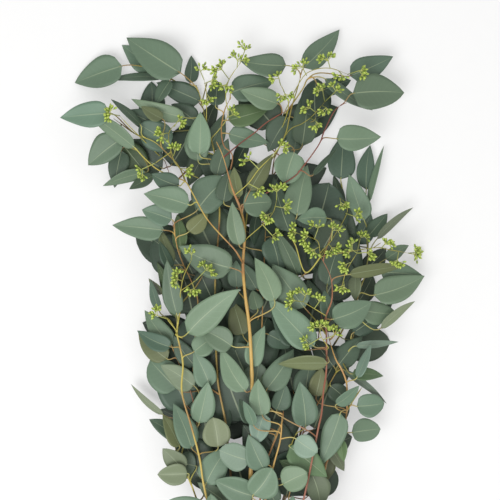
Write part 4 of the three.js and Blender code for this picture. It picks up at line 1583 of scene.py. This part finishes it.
@dataclass
class Cluster:
    """Copies of patterns that make up one piece, in plan millimetres.

    A copy with fewer than many_points points gets its painted shade as a whole, and a long stem point by
    point. No point is made lower than lowest, so that nothing sinks into the table.
    """

    points: list[np.ndarray] = field(default_factory=list)
    faces: list[tuple[int, ...]] = field(default_factory=list)
    tints: list[np.ndarray] = field(default_factory=list)
    maps: list[np.ndarray] = field(default_factory=list)
    curls: list[np.ndarray] = field(default_factory=list)
    count: int = 0
    lit_depth: float = 4.0
    dark_depth: float = 32.0
    many_points: int = 400
    lowest: float = 0.2

    def relax(self, relief: Relief, room: float) -> None:
        """Lets the blades that nothing lies on fold and curl up as they dry.

        Args:
            relief: The heights of the finished bunch.
            room: How deep a blade may lie and still curl a little.
        """
        for points, curl in zip(self.points, self.curls):
            depth = relief.top(points[:, 0], points[:, 1]) - points[:, 2]
            points[:, 2] += curl * float(np.clip(1 - depth.mean() / room, 0.0, 1.0))

    def shade(self, relief: Relief, share: float) -> None:
        """Paints shade on the copies that lie deep in the bunch: the deeper they lie, the darker.

        Args:
            relief: The heights of the finished bunch.
            share: How much colour the painted shade takes from the deepest copies.
        """
        for i, points in enumerate(self.points):
            depth = relief.top(points[:, 0], points[:, 1]) - points[:, 2]
            buried = np.clip((depth - self.lit_depth) / (self.dark_depth - self.lit_depth), 0.0, 1.0)
            if len(points) < self.many_points:
                buried = np.full(len(points), buried.mean())
            # Painted shade: the tint is darkened by how deep the copy lies under the top of the bunch.
            self.tints[i] = self.tints[i] * (1 - share * buried[:, None])

    def add(self, pattern: Pattern, points: np.ndarray, tints: np.ndarray) -> None:
        """Adds one copy.

        Args:
            pattern: The shape that is copied.
            points: The copy's points.
            tints: The colour at each point.
        """
        self.points.append(points)
        self.faces.extend(tuple(i + self.count for i in face) for face in pattern.faces)
        self.tints.append(np.broadcast_to(tints, (len(points), 3)))
        if pattern.mapped is not None:
            self.maps.append(pattern.mapped)
        self.count += len(points)

    def piece(self, name: str, shift: np.ndarray, material: bpy.types.Material) -> bpy.types.Object:
        """Makes the piece's object.

        Args:
            name: The object's name.
            shift: From plan to the frame's place.
            material: Its material.

        Returns:
            The object.
        """
        mesh = bpy.data.meshes.new(name)
        points = (np.concatenate(self.points) + shift) * MM
        points[:, 2] = np.maximum(points[:, 2], self.lowest * MM)
        mesh.from_pydata(points.tolist(), [], self.faces)
        tint = mesh.attributes.new("tint", "FLOAT_COLOR", "POINT")
        colours = np.column_stack([np.concatenate(self.tints), np.ones(self.count)])
        tint.data.foreach_set("color", colours.ravel())
        if self.maps:
            layer = mesh.uv_layers.new(name="Blade")
            layer.data.foreach_set("uv", np.concatenate(self.maps).ravel())
        mesh.shade_smooth()
        mesh.materials.append(material)
        mesh.update()
        made = bpy.data.objects.new(name, mesh)
        bpy.context.scene.collection.objects.link(made)
        return made


def bent_rod(pattern: Pattern, way: Way, radii: np.ndarray) -> np.ndarray:
    """A rod's points, bent along a way.

    Args:
        pattern: The straight rod.
        way: The way in space, evenly spaced.
        radii: The radius at each point of the way.

    Returns:
        The points.
    """
    share = pattern.points[:, 2].clip(0.0, 1.0) * (len(way) - 1)
    index = np.minimum(share.astype(int), len(way) - 2)
    part = (share - index)[:, None]
    middle = way[index] * (1 - part) + way[index + 1] * part
    ahead = np.gradient(way, axis=0)
    ahead /= np.maximum(np.linalg.norm(ahead, axis=1, keepdims=True), 1e-9)
    forward = ahead[index] * (1 - part) + ahead[index + 1] * part
    right = np.column_stack([forward[:, 1], -forward[:, 0], np.zeros(len(forward))])
    right /= np.maximum(np.linalg.norm(right, axis=1, keepdims=True), 1e-9)
    up = np.cross(right, forward)
    radius = (radii[index] * (1 - part[:, 0]) + radii[index + 1] * part[:, 0])[:, None]
    return middle + radius * (right * pattern.points[:, :1] - up * pattern.points[:, 1:2])


@dataclass(frozen=True)
class Shapes:
    """The patterns that the pieces are copied from."""

    stem: Pattern = field(default_factory=lambda: model_rod("stem", 12, STEM_RINGS - 1))
    twig: Pattern = field(default_factory=lambda: model_rod("twig", 8, TWIG_RINGS - 1))
    stalk: Pattern = field(default_factory=lambda: model_rod("stalk", 6, STALK_RINGS - 1))
    cut: Pattern = field(default_factory=lambda: model_rod("cut", 14, 2))
    blade: Pattern = field(default_factory=lambda: model_blade(12, 8))
    bud: Pattern = field(default_factory=model_bud)


# ---- The bunch ----


@dataclass
class Foliage:
    """The leaves of the bunch: their outlines, thickness and tones."""

    shapes: Shapes
    thickness: float = 0.5
    base_power: float = 0.5
    tip_power: float = 1.0
    round_tip_power: float = 0.66
    round_from: float = 0.6
    round_at: float = 0.8
    edge_on_width: float = 20.0
    edge_on_roundness: float = 0.2
    lopsided: float = 0.05
    ripple: float = 0.035
    twist: float = 0.35
    crease: float = 0.5
    stalk_radius: float = 0.62
    stalk_foot_radius: float = 0.8
    stalk_reach: float = 0.05
    stalk_tone: np.ndarray = field(default_factory=lambda: linear(168, 168, 104))
    uneven: float = 0.1
    warmth: float = 0.028
    aged: float = 0.06
    fold: float = 0.26
    roll: float = 0.2
    nod: float = 0.5
    curl_dice: np.random.Generator = field(default_factory=lambda: np.random.default_rng(3))
    dice: np.random.Generator = field(default_factory=lambda: np.random.default_rng(7))

    def outline(self, u: np.ndarray, roundness: float) -> np.ndarray:
        """Half the width of a blade along its length, as a share of its greatest half width.

        Args:
            u: Shares of the length.
            roundness: 0 for a pointed blade, 1 for a round one.

        Returns:
            The shares.
        """
        tip = self.tip_power + (self.round_tip_power - self.tip_power) * roundness
        base = self.base_power
        widest = base / (base + tip)
        return u**base * (1 - u) ** tip / (widest**base * (1 - widest) ** tip)

    def add_blade(self, cluster: Cluster, blade: Blade) -> None:
        """Adds a blade to a piece.

        Args:
            cluster: The piece.
            blade: The laid blade.
        """
        points = self.shapes.blade.points
        u = points[:, 1].clip(0.0, 1.0)
        v = points[:, 0].clip(-1.0, 1.0)
        slim = blade.width / blade.length
        roundness = float(np.clip((slim - self.round_from) / (self.round_at - self.round_from), 0.0, 1.0))
        if blade.width < self.edge_on_width:
            roundness = self.edge_on_roundness
        half = self.outline(u, roundness) * blade.width / 2
        lopsided = self.dice.normal(0.0, self.lopsided)
        ripple = self.ripple * np.sin(u * 8 + self.dice.uniform(0, 6.3))
        across = v * half * (1 + (lopsided + ripple) * np.sign(v))
        x, y = blade.place(u, across)
        smooth_half = blade.sizes.half_width(u, blade.width)
        rise = blade.rise(u, across, smooth_half)
        crease = blade.sizes.cup * self.crease * smooth_half * (np.abs(v) - v**2)
        twist = self.twist * np.sin(u * 7 + self.dice.uniform(0, 6.3)) * v**2
        steep = math.sqrt(1 + blade.along_slope**2 + blade.across_slope**2)
        side = points[:, 2] * self.thickness * steep * np.minimum(1.0, 0.35 + 2.5 * (1 - np.abs(v)))
        z = blade.height + rise + crease + twist + side
        grey = self.dice.normal(0.0, self.uneven)
        warm = self.dice.normal(0.0, self.warmth)
        tint = blade.tone.colour * (1 + grey) * np.array([1 + warm, 1.0, 1 - warm])
        aged = 1 + self.aged * (u - 0.5)[:, None]
        cluster.add(self.shapes.blade, np.column_stack([x, y, z]), (tint * aged).clip(0, 1))
        dice = self.curl_dice
        fold = np.abs(across) * dice.uniform(0.0, self.fold)
        roll = np.maximum(0.0, across * dice.choice([-1.0, 1.0])) * dice.uniform(0.0, self.roll)
        nod = np.maximum(0.0, u - 0.5) ** 2 * blade.length * dice.uniform(0.0, self.nod)
        cluster.curls.append(fold + roll + nod)

    def add_stalk(self, cluster: Cluster, way: Way, root: np.ndarray, blade: Blade) -> None:
        """Adds the stalk of a blade to its twig's piece.

        Args:
            cluster: The piece.
            way: The stalk's way.
            root: The bark's colour where it starts.
            blade: The blade that it carries.
        """
        inner = np.array([self.stalk_reach])
        tip = np.array([*np.ravel(blade.place(inner, 0 * inner)), 0.0])
        tip[2] = blade.height + float(blade.rise(inner, 0 * inner, 0 * inner + 1)[0]) - 0.1
        fine = evened(np.vstack([way, tip]), STALK_RINGS)
        radii = np.linspace(self.stalk_foot_radius, self.stalk_radius, STALK_RINGS)
        share = self.shapes.stalk.points[:, 2:].clip(0, 1)
        tints = root * (1 - share) + self.stalk_tone * share
        cluster.add(self.shapes.stalk, bent_rod(self.shapes.stalk, fine, radii), tints)


@dataclass
class Timber:
    """The stems and twigs of the bunch: their rings, knots and tones."""

    shapes: Shapes
    joint_spacing: float = 38.0
    joint_swell: float = 0.22
    joint_length: float = 3.0
    joint_shade: float = 0.18
    joint_shade_length: float = 4.0
    slim: float = 0.74
    main_slim: float = 0.92
    taper: float = 3.6
    tip_share: float = 0.12
    tip_least: float = 0.4
    cut_proud: float = 0.35
    stout: tuple[str, ...] = ("branch_middle", "sprig_front_middle")
    cut_rim: np.ndarray = field(default_factory=lambda: linear(206, 190, 140))
    cut_pith: np.ndarray = field(default_factory=lambda: linear(150, 118, 76))
    dice: np.random.Generator = field(default_factory=lambda: np.random.default_rng(11))

    def add(
        self, cluster: Cluster, way: Way, radii: tuple[float, float], bark: str, thick: bool, main: bool
    ) -> None:
        """Adds a stem or a twig to a piece.

        Args:
            cluster: The piece.
            way: Its way in space.
            radii: Its radius at either end.
            bark: The tones at either end.
            thick: Whether it is a stem.
            main: Whether it is one of the stout ones in the middle, which narrow slowly.
        """
        pattern = self.shapes.stem if thick else self.shapes.twig
        count = STEM_RINGS if thick else TWIG_RINGS
        fine = evened(way, count)
        reach = np.concatenate([[0], np.cumsum(np.linalg.norm(np.diff(fine, axis=0), axis=1))])
        fall = (1 - np.linspace(0, 1, count)) ** (1.0 if main else self.taper)
        radius = (radii[1] + (radii[0] - radii[1]) * fall) * (self.main_slim if main else self.slim)
        radius *= np.clip(np.linspace(1, 0, count) / self.tip_share, self.tip_least, 1.0)
        spacing = self.joint_spacing
        phase = self.dice.uniform(0.2, 0.8) * spacing
        off = (reach - phase + spacing / 2) % spacing - spacing / 2
        radius *= 1 + self.joint_swell * np.exp(-((off / self.joint_length) ** 2))
        first, last = (BarkTone(letter).colour for letter in bark)
        share = pattern.points[:, 2:].clip(0, 1)
        shadow = np.exp(-((off / self.joint_shade_length) ** 2))
        joint = np.interp(share[:, 0] * (count - 1), np.arange(count), shadow)
        tints = (first * (1 - share) + last * share) * (1 - self.joint_shade * joint[:, None])
        cluster.add(pattern, bent_rod(pattern, fine, radius), tints)
        if thick:
            ahead = (fine[1] - fine[0]) / np.linalg.norm(fine[1] - fine[0])
            for share_out, colour in ((0.97, self.cut_rim), (0.3, self.cut_pith)):
                disc = fine[0] + np.outer(np.linspace(share_out * 0.1 - self.cut_proud, 0.5, 10), ahead)
                cut = bent_rod(self.shapes.cut, disc, np.full(10, radius[0] * share_out))
                cluster.add(self.shapes.cut, cut, colour)


@dataclass
class Seeds:
    """The knots of buds."""

    shapes: Shapes
    reach: float = 8.5
    umbel_reach: float = 8.2
    side_reach: float = 5.5
    spread: float = 0.95
    full_share: float = 0.4
    bud_length: float = 4.9
    bud_radius: float = 1.26
    stalk_radius: float = 0.4
    knot_stalk_radius: float = 0.55
    radius: float = 1.7
    buds: int = 10
    golden_turn: float = 2.399963
    frame_draws: int = 6
    dice: np.random.Generator = field(default_factory=lambda: np.random.default_rng(5))

    @property
    def drop(self) -> float:
        """From a knot's middle down to its lowest bud."""
        return self.reach * math.sqrt(1 / 3) + self.radius

    def add_bud(self, cluster: Cluster, start: np.ndarray, way: np.ndarray, length: float) -> None:
        """Adds one bud on its own stalk.

        Args:
            cluster: The piece.
            start: The middle of the knot.
            way: The bud's direction.
            length: From the knot to the bud's tip.
        """
        way = way / np.linalg.norm(way)
        right = np.cross(way, [0.0, 0.0, 1.0] if abs(way[2]) < 0.9 else [1.0, 0.0, 0.0])
        right /= np.linalg.norm(right)
        up = np.cross(right, way)
        bud = self.shapes.bud.points
        foot = start + way * max(0.6, length - self.bud_length)
        size = min(self.bud_length, length - 0.6)
        thick = self.bud_radius * self.dice.uniform(0.9, 1.12)
        points = foot + way * bud[:, 2:] * size + (right * bud[:, :1] + up * -bud[:, 1:2]) * thick
        share = np.clip((bud[:, 2:] - 0.25) / 0.6, 0, 1)
        tints = BudTone.CUP.colour * (1 - share) + BudTone.CAP.colour * share
        cluster.add(self.shapes.bud, points, tints * self.dice.uniform(0.86, 1.14))
        self.add_stalk(cluster, np.array([start, foot + way * 0.5]), self.stalk_radius)

    def add_stalk(self, cluster: Cluster, way: Way, radius: float) -> None:
        """Adds a thin green stalk.

        Args:
            cluster: The piece.
            way: Its way in space.
            radius: Its radius.
        """
        rod = bent_rod(self.shapes.stalk, evened(way, STALK_RINGS), np.full(STALK_RINGS, radius))
        cluster.add(self.shapes.stalk, rod, BudTone.STALK.colour)

    def add_umbel(self, cluster: Cluster, centre: np.ndarray, lean: np.ndarray) -> None:
        """Adds one umbel: buds on short stalks that spread from one point.

        Args:
            cluster: The piece.
            centre: The point that they spread from.
            lean: The direction that the whole umbel leans to.
        """
        count = int(self.dice.integers(4, self.buds))
        turn = self.dice.uniform(0, math.tau)
        for k in range(count):
            rise = -0.8 + 1.6 * (k + 0.5) / count
            flat = math.sqrt(1 - rise**2)
            angle = turn + k * self.golden_turn + self.dice.uniform(-0.4, 0.4)
            around = np.array([flat * math.cos(angle), flat * math.sin(angle), rise])
            reach = self.umbel_reach * self.dice.uniform(0.7, 1.15)
            self.add_bud(cluster, centre, lean + around * self.spread, reach)

    def add_knot(self, cluster: Cluster, centre: np.ndarray, forward: np.ndarray) -> None:
        """Adds a knot of buds: an umbel at its end and smaller ones beside it.

        Args:
            cluster: The piece.
            centre: The middle of the knot.
            forward: The direction of the stalk that carries it.
        """
        ahead = math.atan2(forward[1], forward[0])
        full = self.dice.uniform() < self.full_share
        sides = [0.0, -1.0, 1.0] if full else [0.0, self.dice.choice([-1.0, 1.0])]
        for side in sides:
            angle = ahead + side * self.dice.uniform(0.7, 1.5)
            out = np.array([math.cos(angle), math.sin(angle), self.dice.uniform(-0.1, 0.3)])
            reach = self.side_reach * self.dice.uniform(0.6, 1.15) * (0.3 if side == 0.0 else 1.0)
            umbel = centre + out * reach
            self.add_stalk(cluster, np.array([centre - [0, 0, 1.0], umbel]), self.stalk_radius * 1.15)
            self.add_umbel(cluster, umbel, out)


@dataclass
class Bunch:
    """The whole bunch: lays every piece and makes its meshes."""

    frame: dict
    inner_shade: float = 0.68
    curl_room: float = 12.0
    join_reach: float = 16.0
    join_straight: float = 0.6
    join_longest: float = 95.0
    slant: float = 0.6
    slant_longest: float = 9.0
    fine_points: int = 160
    stem_points: int = 120
    low_breadth: float = 1.6
    bud_twig_radii: tuple[float, float] = (0.75, 0.6)
    band_colour: np.ndarray = field(default_factory=lambda: linear(176, 152, 112))
    wood: Wood = field(default_factory=Wood)
    shapes: Shapes = field(default_factory=Shapes)
    laid: list[tuple[Layout, Cluster, Cluster]] = field(default_factory=list)

    def __post_init__(self) -> None:
        """Sets up the table, the growers and the finishes, and finds the frame's place."""
        self.table = Table(self.wood)
        self.layer = BladeLayer(self.table)
        self.foliage = Foliage(self.shapes)
        self.timber = Timber(self.shapes)
        self.seeds = Seeds(self.shapes)
        blade = BladeFinish("blade", roughness=0.5, specular=0.4, mottle=0.1, bump=0.3)
        bark = BarkFinish("bark", roughness=0.46, mottle_scale=240.0, mottle=0.14, bump=0.25)
        bud = Finish("bud", roughness=0.42, mottle_scale=700.0, mottle=0.08, bump=0.1)
        self.blade_skin, self.bark_skin, self.bud_skin = blade.material(), bark.material(), bud.material()
        low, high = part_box("band")
        middle = (low + high) / 2 / MM
        band_middle = (self.wood.row_height(0) + self.wood.row_height(2)) / 2
        self.shift = np.array([middle.x, middle.y, middle.z - band_middle])

    def stem_way(self, layout: Layout) -> Way:
        """The way of a stem in plan: straight through the band, then along its route.

        Args:
            layout: The stem's layout.

        Returns:
            The way.
        """
        wood = self.wood
        x = layout.place[0] * wood.pitch
        start = wood.cut_end + wood.cut_stagger * ((len(self.table.stems) * 3) % 4)
        way = smooth_way([(x, wood.straight_until), *layout.wood[0]], wood.stem_step)
        return np.vstack([[x, start], way])

    def joined(self, way: Way) -> Way:
        """A twig's way, drawn on to a stem beside its foot or straight behind it.

        Args:
            way: The twig's way.

        Returns:
            The way, with the stem's point before it if one is near enough.
        """
        near, least = None, math.inf
        onward = (way[1] - way[0]) / np.linalg.norm(way[1] - way[0])
        for stem in self.table.stems:
            for point in evened(stem, self.stem_points):
                apart = float(np.linalg.norm(way[0] - point))
                straight = float((way[0] - point) @ onward) / max(apart, 1e-6)
                reach = self.join_reach if straight < self.join_straight else self.join_longest
                cost = apart * (2 - straight)
                if apart < reach and cost < least:
                    near, least = point, cost
        return way if near is None else np.vstack([near, way])

    def paired_leaves(self, way: Way, pairs: tuple[float, float, int, float, float]) -> list[tuple]:
        """Opposite leaves along a way.

        Args:
            way: The stem's way.
            pairs: Where the first and last pairs are, how many there are, and their length and width.

        Returns:
            The leaves.
        """
        first, last, count, length, width = pairs
        luck = self.table.luck
        leaves = []
        for k in range(count):
            at = (first + (last - first) * k / (count - 1)) * (len(way) - 1)
            i = min(math.floor(at), len(way) - 2)
            x, y = way[i][:2] + (way[i + 1][:2] - way[i][:2]) * (at - i)
            forward = heading(way[i], way[i + 1])
            for side in (-1, 1):
                angle = math.atan2(forward[1], forward[0]) + side * luck.between(0.8, 1.15)
                dx, dy = math.cos(angle), math.sin(angle)
                reach = length * luck.between(0.88, 1.08)
                wide = width * luck.between(0.88, 1.08)
                leaves.append((x + dx * 7, y + dy * 7, x + dx * reach, y + dy * reach, wide, "D"))
        return leaves

    def lay_wood(self, layout: Layout) -> list[Way]:
        """Lays the stem and twigs of a piece.

        Args:
            layout: The piece's layout.

        Returns:
            Their ways.
        """
        wood, table = self.wood, self.table
        buds = bool(layout.knots)
        row = layout.place[1] if layout.place else None
        radius = wood.stalk_radius if buds else wood.stem_radius if layout.place else wood.twig_radius
        side_radius = wood.stalk_radius if buds else wood.twig_radius
        slope = wood.stalk_slope if buds else wood.stem_slope if layout.place else wood.twig_slope
        side_slope = wood.stalk_slope if buds else wood.twig_slope
        ways: list[Way] = []
        for i, route in enumerate(layout.wood):
            if i == 0:
                way = self.stem_way(layout) if layout.place else smooth_way(list(route), wood.twig_step)
                ways.append(table.lay_way(way, radius, slope, row))
                continue
            start = table.root_for(np.array(route[0]), np.zeros(2), ways, 0.0)
            way = smooth_way([start[:2], *route[1:]], wood.twig_step)
            ways.append(table.lay_way(way, side_radius, side_slope, None, start[2]))
        for i, way in enumerate(ways):
            table.lift_along(way, radius if i == 0 else side_radius)
        if layout.place:
            table.stems.append(ways[0])
        return ways

    def lay(self, layout: Layout) -> None:
        """Lays one piece on the pieces under it.

        Args:
            layout: The piece's layout.
        """
        table, layer = self.table, self.layer
        low_blades = [layer.lay(leaf, None) for leaf in layout.under]
        ways = self.lay_wood(layout)
        leaves, timber = Cluster(), Cluster()
        stem_radii = (self.wood.stem_radius, self.wood.stem_tip_radius)
        twig_radii = (self.wood.twig_radius, self.wood.twig_tip_radius)
        if layout.knots:
            twig_radii = self.bud_twig_radii
        for i, way in enumerate(ways):
            thick = i == 0 and layout.place is not None
            main = i == 0 and layout.name in self.timber.stout
            if i == 0 and not thick:
                way = self.joined(way)
            self.timber.add(timber, way, stem_radii if thick else twig_radii, layout.barks[i], thick, main)
        for blade in low_blades:
            self.grow(leaves, timber, blade, ways, layout)
        paired = self.paired_leaves(ways[0], layout.pairs) if layout.pairs else []
        for leaf in [*paired, *layout.over]:
            base, tip = np.array(leaf[:2], float), np.array(leaf[2:4], float)
            root = table.root_for(base, heading(base, tip), ways, self.wood.stalk_shortest)
            self.grow(leaves, timber, layer.lay(leaf, root), ways, layout)
        if layout.knots:
            self.add_knots(timber, layout, ways)
        self.laid.append((layout, leaves, timber))

    def finish(self, layout: Layout, leaves: Cluster, timber: Cluster) -> None:
        """Makes the meshes of one laid piece.

        Args:
            layout: The piece's layout.
            leaves: Its blades.
            timber: Its wood and buds.
        """
        # Painted shade: blades and wood that lie deep in the bunch are darkened by their depth.
        leaves.shade(self.table.relief, self.inner_shade)
        leaves.relax(self.table.relief, self.curl_room)
        timber.shade(self.table.relief, self.inner_shade)
        skin = self.bud_skin if layout.knots else self.bark_skin
        wood_piece = timber.piece(f"{layout.name}_wood", self.shift, skin)
        pieces = [wood_piece]
        if leaves.count:
            blade_piece = leaves.piece(f"{layout.name}_blades", self.shift, self.blade_skin)
            pieces.append(blade_piece)
        for piece in pieces:
            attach(piece, "root")
            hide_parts(layout.name)
        log.info("%s: %d pieces, %d points", layout.name, len(pieces), timber.count + leaves.count)

    def grow(
        self, leaves: Cluster, timber: Cluster, blade: Blade, ways: list[Way], layout: Layout
    ) -> None:
        """Adds a blade and its stalk.

        Args:
            leaves: The piece that holds the blades.
            timber: The piece that holds the wood.
            blade: The laid blade.
            ways: The wood's ways.
            layout: The piece's layout.
        """
        table, wood = self.table, self.wood
        end = blade.foot
        near = table.root_for(end, blade.forward, ways, wood.stalk_shortest)
        reach = max(wood.stalk_shortest, wood.stalk_lean * abs(end[2] - near[2]))
        root = table.root_for(end, blade.forward, ways, reach)
        way = table.lay_stalk(root, end, blade.forward)
        broad = self.low_breadth if layout.name.startswith("sprig_low_") else 1.0
        self.foliage.add_blade(leaves, replace(blade, width=blade.width * broad))
        slanted = self.slanted(way, blade.forward, ways)
        self.foliage.add_stalk(timber, slanted, BarkTone(layout.barks[0][-1]).colour, blade)

    def slanted(self, way: Way, forward: np.ndarray, ways: list[Way]) -> Way:
        """A stalk's way that leaves its wood at a slant and bends towards the blade.

        Args:
            way: The laid way.
            forward: The direction of the blade.
            ways: The wood's ways.

        Returns:
            The way, from a little further down the wood.
        """
        root, end = way[0], way[-1]
        reach = spread(root, end)
        fine_ways = (evened(w, self.fine_points) for w in ways)
        held = min(fine_ways, key=lambda w: np.linalg.norm(w - root, axis=1).min())
        at = int(np.linalg.norm(held - root, axis=1).argmin())
        onward = heading(held[max(0, at - 1)], held[min(at + 1, len(held) - 1)])
        step = spread(held[0], held[1]) or 1.0
        drop = int(min(self.slant * reach, self.slant_longest) / step) if onward @ forward > -0.2 else 0
        foot = held[max(0, at - drop)]
        bend = np.array([*(end[:2] - forward * reach * self.wood.stalk_bend), end[2]])
        t = np.linspace(0, 1, STALK_RINGS)[:, None]
        curve = (1 - t) ** 3 * foot + 3 * (1 - t) ** 2 * t * root + 3 * (1 - t) * t**2 * bend + t**3 * end
        curve[1:-1, 2] = np.maximum(curve[1:-1, 2], evened(way, STALK_RINGS)[1:-1, 2])
        return curve

    def add_knots(self, timber: Cluster, layout: Layout, ways: list[Way]) -> None:
        """Lays the knots of a spray of buds.

        Args:
            timber: The piece that holds them.
            layout: The spray's layout.
            ways: The spray's wood.
        """
        seeds, table = self.seeds, self.table
        marks = np.arange(-seeds.reach, seeds.reach + 1e-9, table.relief.cell)
        disc = np.array([(a, b) for a in marks for b in marks if a**2 + b**2 <= seeds.reach**2])
        centres = []
        for x, y in layout.knots:
            top = float(table.relief.top(x + disc[:, 0], y + disc[:, 1]).max())
            centres.append(np.array([x, y, top + table.relief.clearance + seeds.drop]))
        for centre in centres:
            root = table.root_for(centre, np.zeros(2), ways, self.wood.stalk_shortest)
            way = table.lay_stalk(root, centre, heading(root, centre))
            seeds.add_stalk(timber, way, seeds.knot_stalk_radius)
            seeds.add_knot(timber, centre, heading(root, centre))
            table.luck.skip(seeds.frame_draws)
        for centre in centres:
            x, y = centre[0] + disc[:, 0], centre[1] + disc[:, 1]
            table.relief.lift(x, y, np.full(len(disc), centre[2] + seeds.drop))

    def dress_band(self) -> None:
        """Gives the frame's elastic band its finish."""
        band = self.frame["nodes"]["band"]
        mesh = band.data
        tint = mesh.attributes.new("tint", "FLOAT_COLOR", "POINT")
        tint.data.foreach_set("color", [*self.band_colour, 1.0] * len(mesh.vertices))
        elastic = ElasticFinish("elastic", roughness=0.55, mottle_scale=300.0, mottle=0.08, bump=0.3)
        mesh.materials.clear()
        mesh.materials.append(elastic.material())


# ---- Table, light and camera ----


@dataclass
class Studio:
    """The white table, the soft light and the camera straight above."""

    table_size: float = 6.0
    view_width: float = 0.575
    view_centre: tuple[float, float] = (0.0, 395.6)
    camera_height: float = 1.45
    mid_height: float = 0.035
    sensor: float = 36.0
    key_power: float = 36.0
    key_size: float = 1.3
    fill_power: float = 12.0
    fill_size: float = 2.4
    key_place: tuple[float, float, float] = (-0.6, -0.7, 1.9)
    fill_place: tuple[float, float, float] = (0.9, 0.7, 2.2)
    sky: float = 0.56
    sky_colour: tuple[float, ...] = (1.0, 0.995, 0.98, 1.0)

    def floor(self) -> None:
        """Lays the table."""
        bpy.ops.object.select_all(action="DESELECT")
        bpy.ops.mesh.primitive_plane_add(size=self.table_size, location=(0, 0, 0))
        floor = put_aside("table")
        white = TableFinish("table", roughness=0.7, specular=0.2, mottle=0.01)
        floor.data.materials.append(white.material())

    def light(self, name: str, power: float, size: float, place: tuple[float, float, float]) -> None:
        """Hangs a square soft light that faces the bunch.

        Args:
            name: Its name.
            power: Its power in watts.
            size: Its side.
            place: Where it hangs.
        """
        data = bpy.data.lights.new(name, "AREA")
        data.energy = power
        data.shape = "SQUARE"
        data.size = size
        lamp = bpy.data.objects.new(name, data)
        lamp.location = place
        lamp.rotation_euler = (-Vector(place)).to_track_quat("-Z", "Y").to_euler()
        bpy.context.scene.collection.objects.link(lamp)

    def world(self) -> None:
        """Sets the even light of the room."""
        world = bpy.data.worlds.new("room")
        world.use_nodes = True
        background = world.node_tree.nodes["Background"]
        background.inputs["Color"].default_value = self.sky_colour
        background.inputs["Strength"].default_value = self.sky
        bpy.context.scene.world = world

    def camera(self, shift: np.ndarray) -> None:
        """Sets the camera over the bunch.

        Args:
            shift: From plan to the frame's place.
        """
        data = bpy.data.cameras.new("camera")
        data.sensor_width = self.sensor
        data.lens = self.sensor * (self.camera_height - self.mid_height) / self.view_width
        camera = bpy.data.objects.new("camera", data)
        x, y = (self.view_centre[0] + shift[0]) * MM, (self.view_centre[1] + shift[1]) * MM
        camera.location = (x, y, self.camera_height)
        bpy.context.scene.collection.objects.link(camera)
        bpy.context.scene.camera = camera

    def build(self, shift: np.ndarray) -> None:
        """Sets the whole studio.

        Args:
            shift: From plan to the frame's place.
        """
        self.floor()
        self.light("key", self.key_power, self.key_size, self.key_place)
        self.light("fill", self.fill_power, self.fill_size, self.fill_place)
        self.world()
        self.camera(shift)
        bpy.context.scene.view_settings.view_transform = "Standard"


def write_sizes() -> None:
    """Updates the view layer after the build; nothing is written.
    """
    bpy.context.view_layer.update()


def main() -> None:
    """Builds the bunch and its studio."""
    logging.basicConfig(level=logging.INFO)
    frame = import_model()
    bpy.ops.object.select_all(action="DESELECT")
    bunch = Bunch(frame)
    for layout in LAYOUTS:
        bunch.lay(layout)
    for laid in bunch.laid:
        bunch.finish(*laid)
    bunch.dress_band()
    Studio().build(bunch.shift)
    write_sizes()


if __name__ == "__main__":
    main()
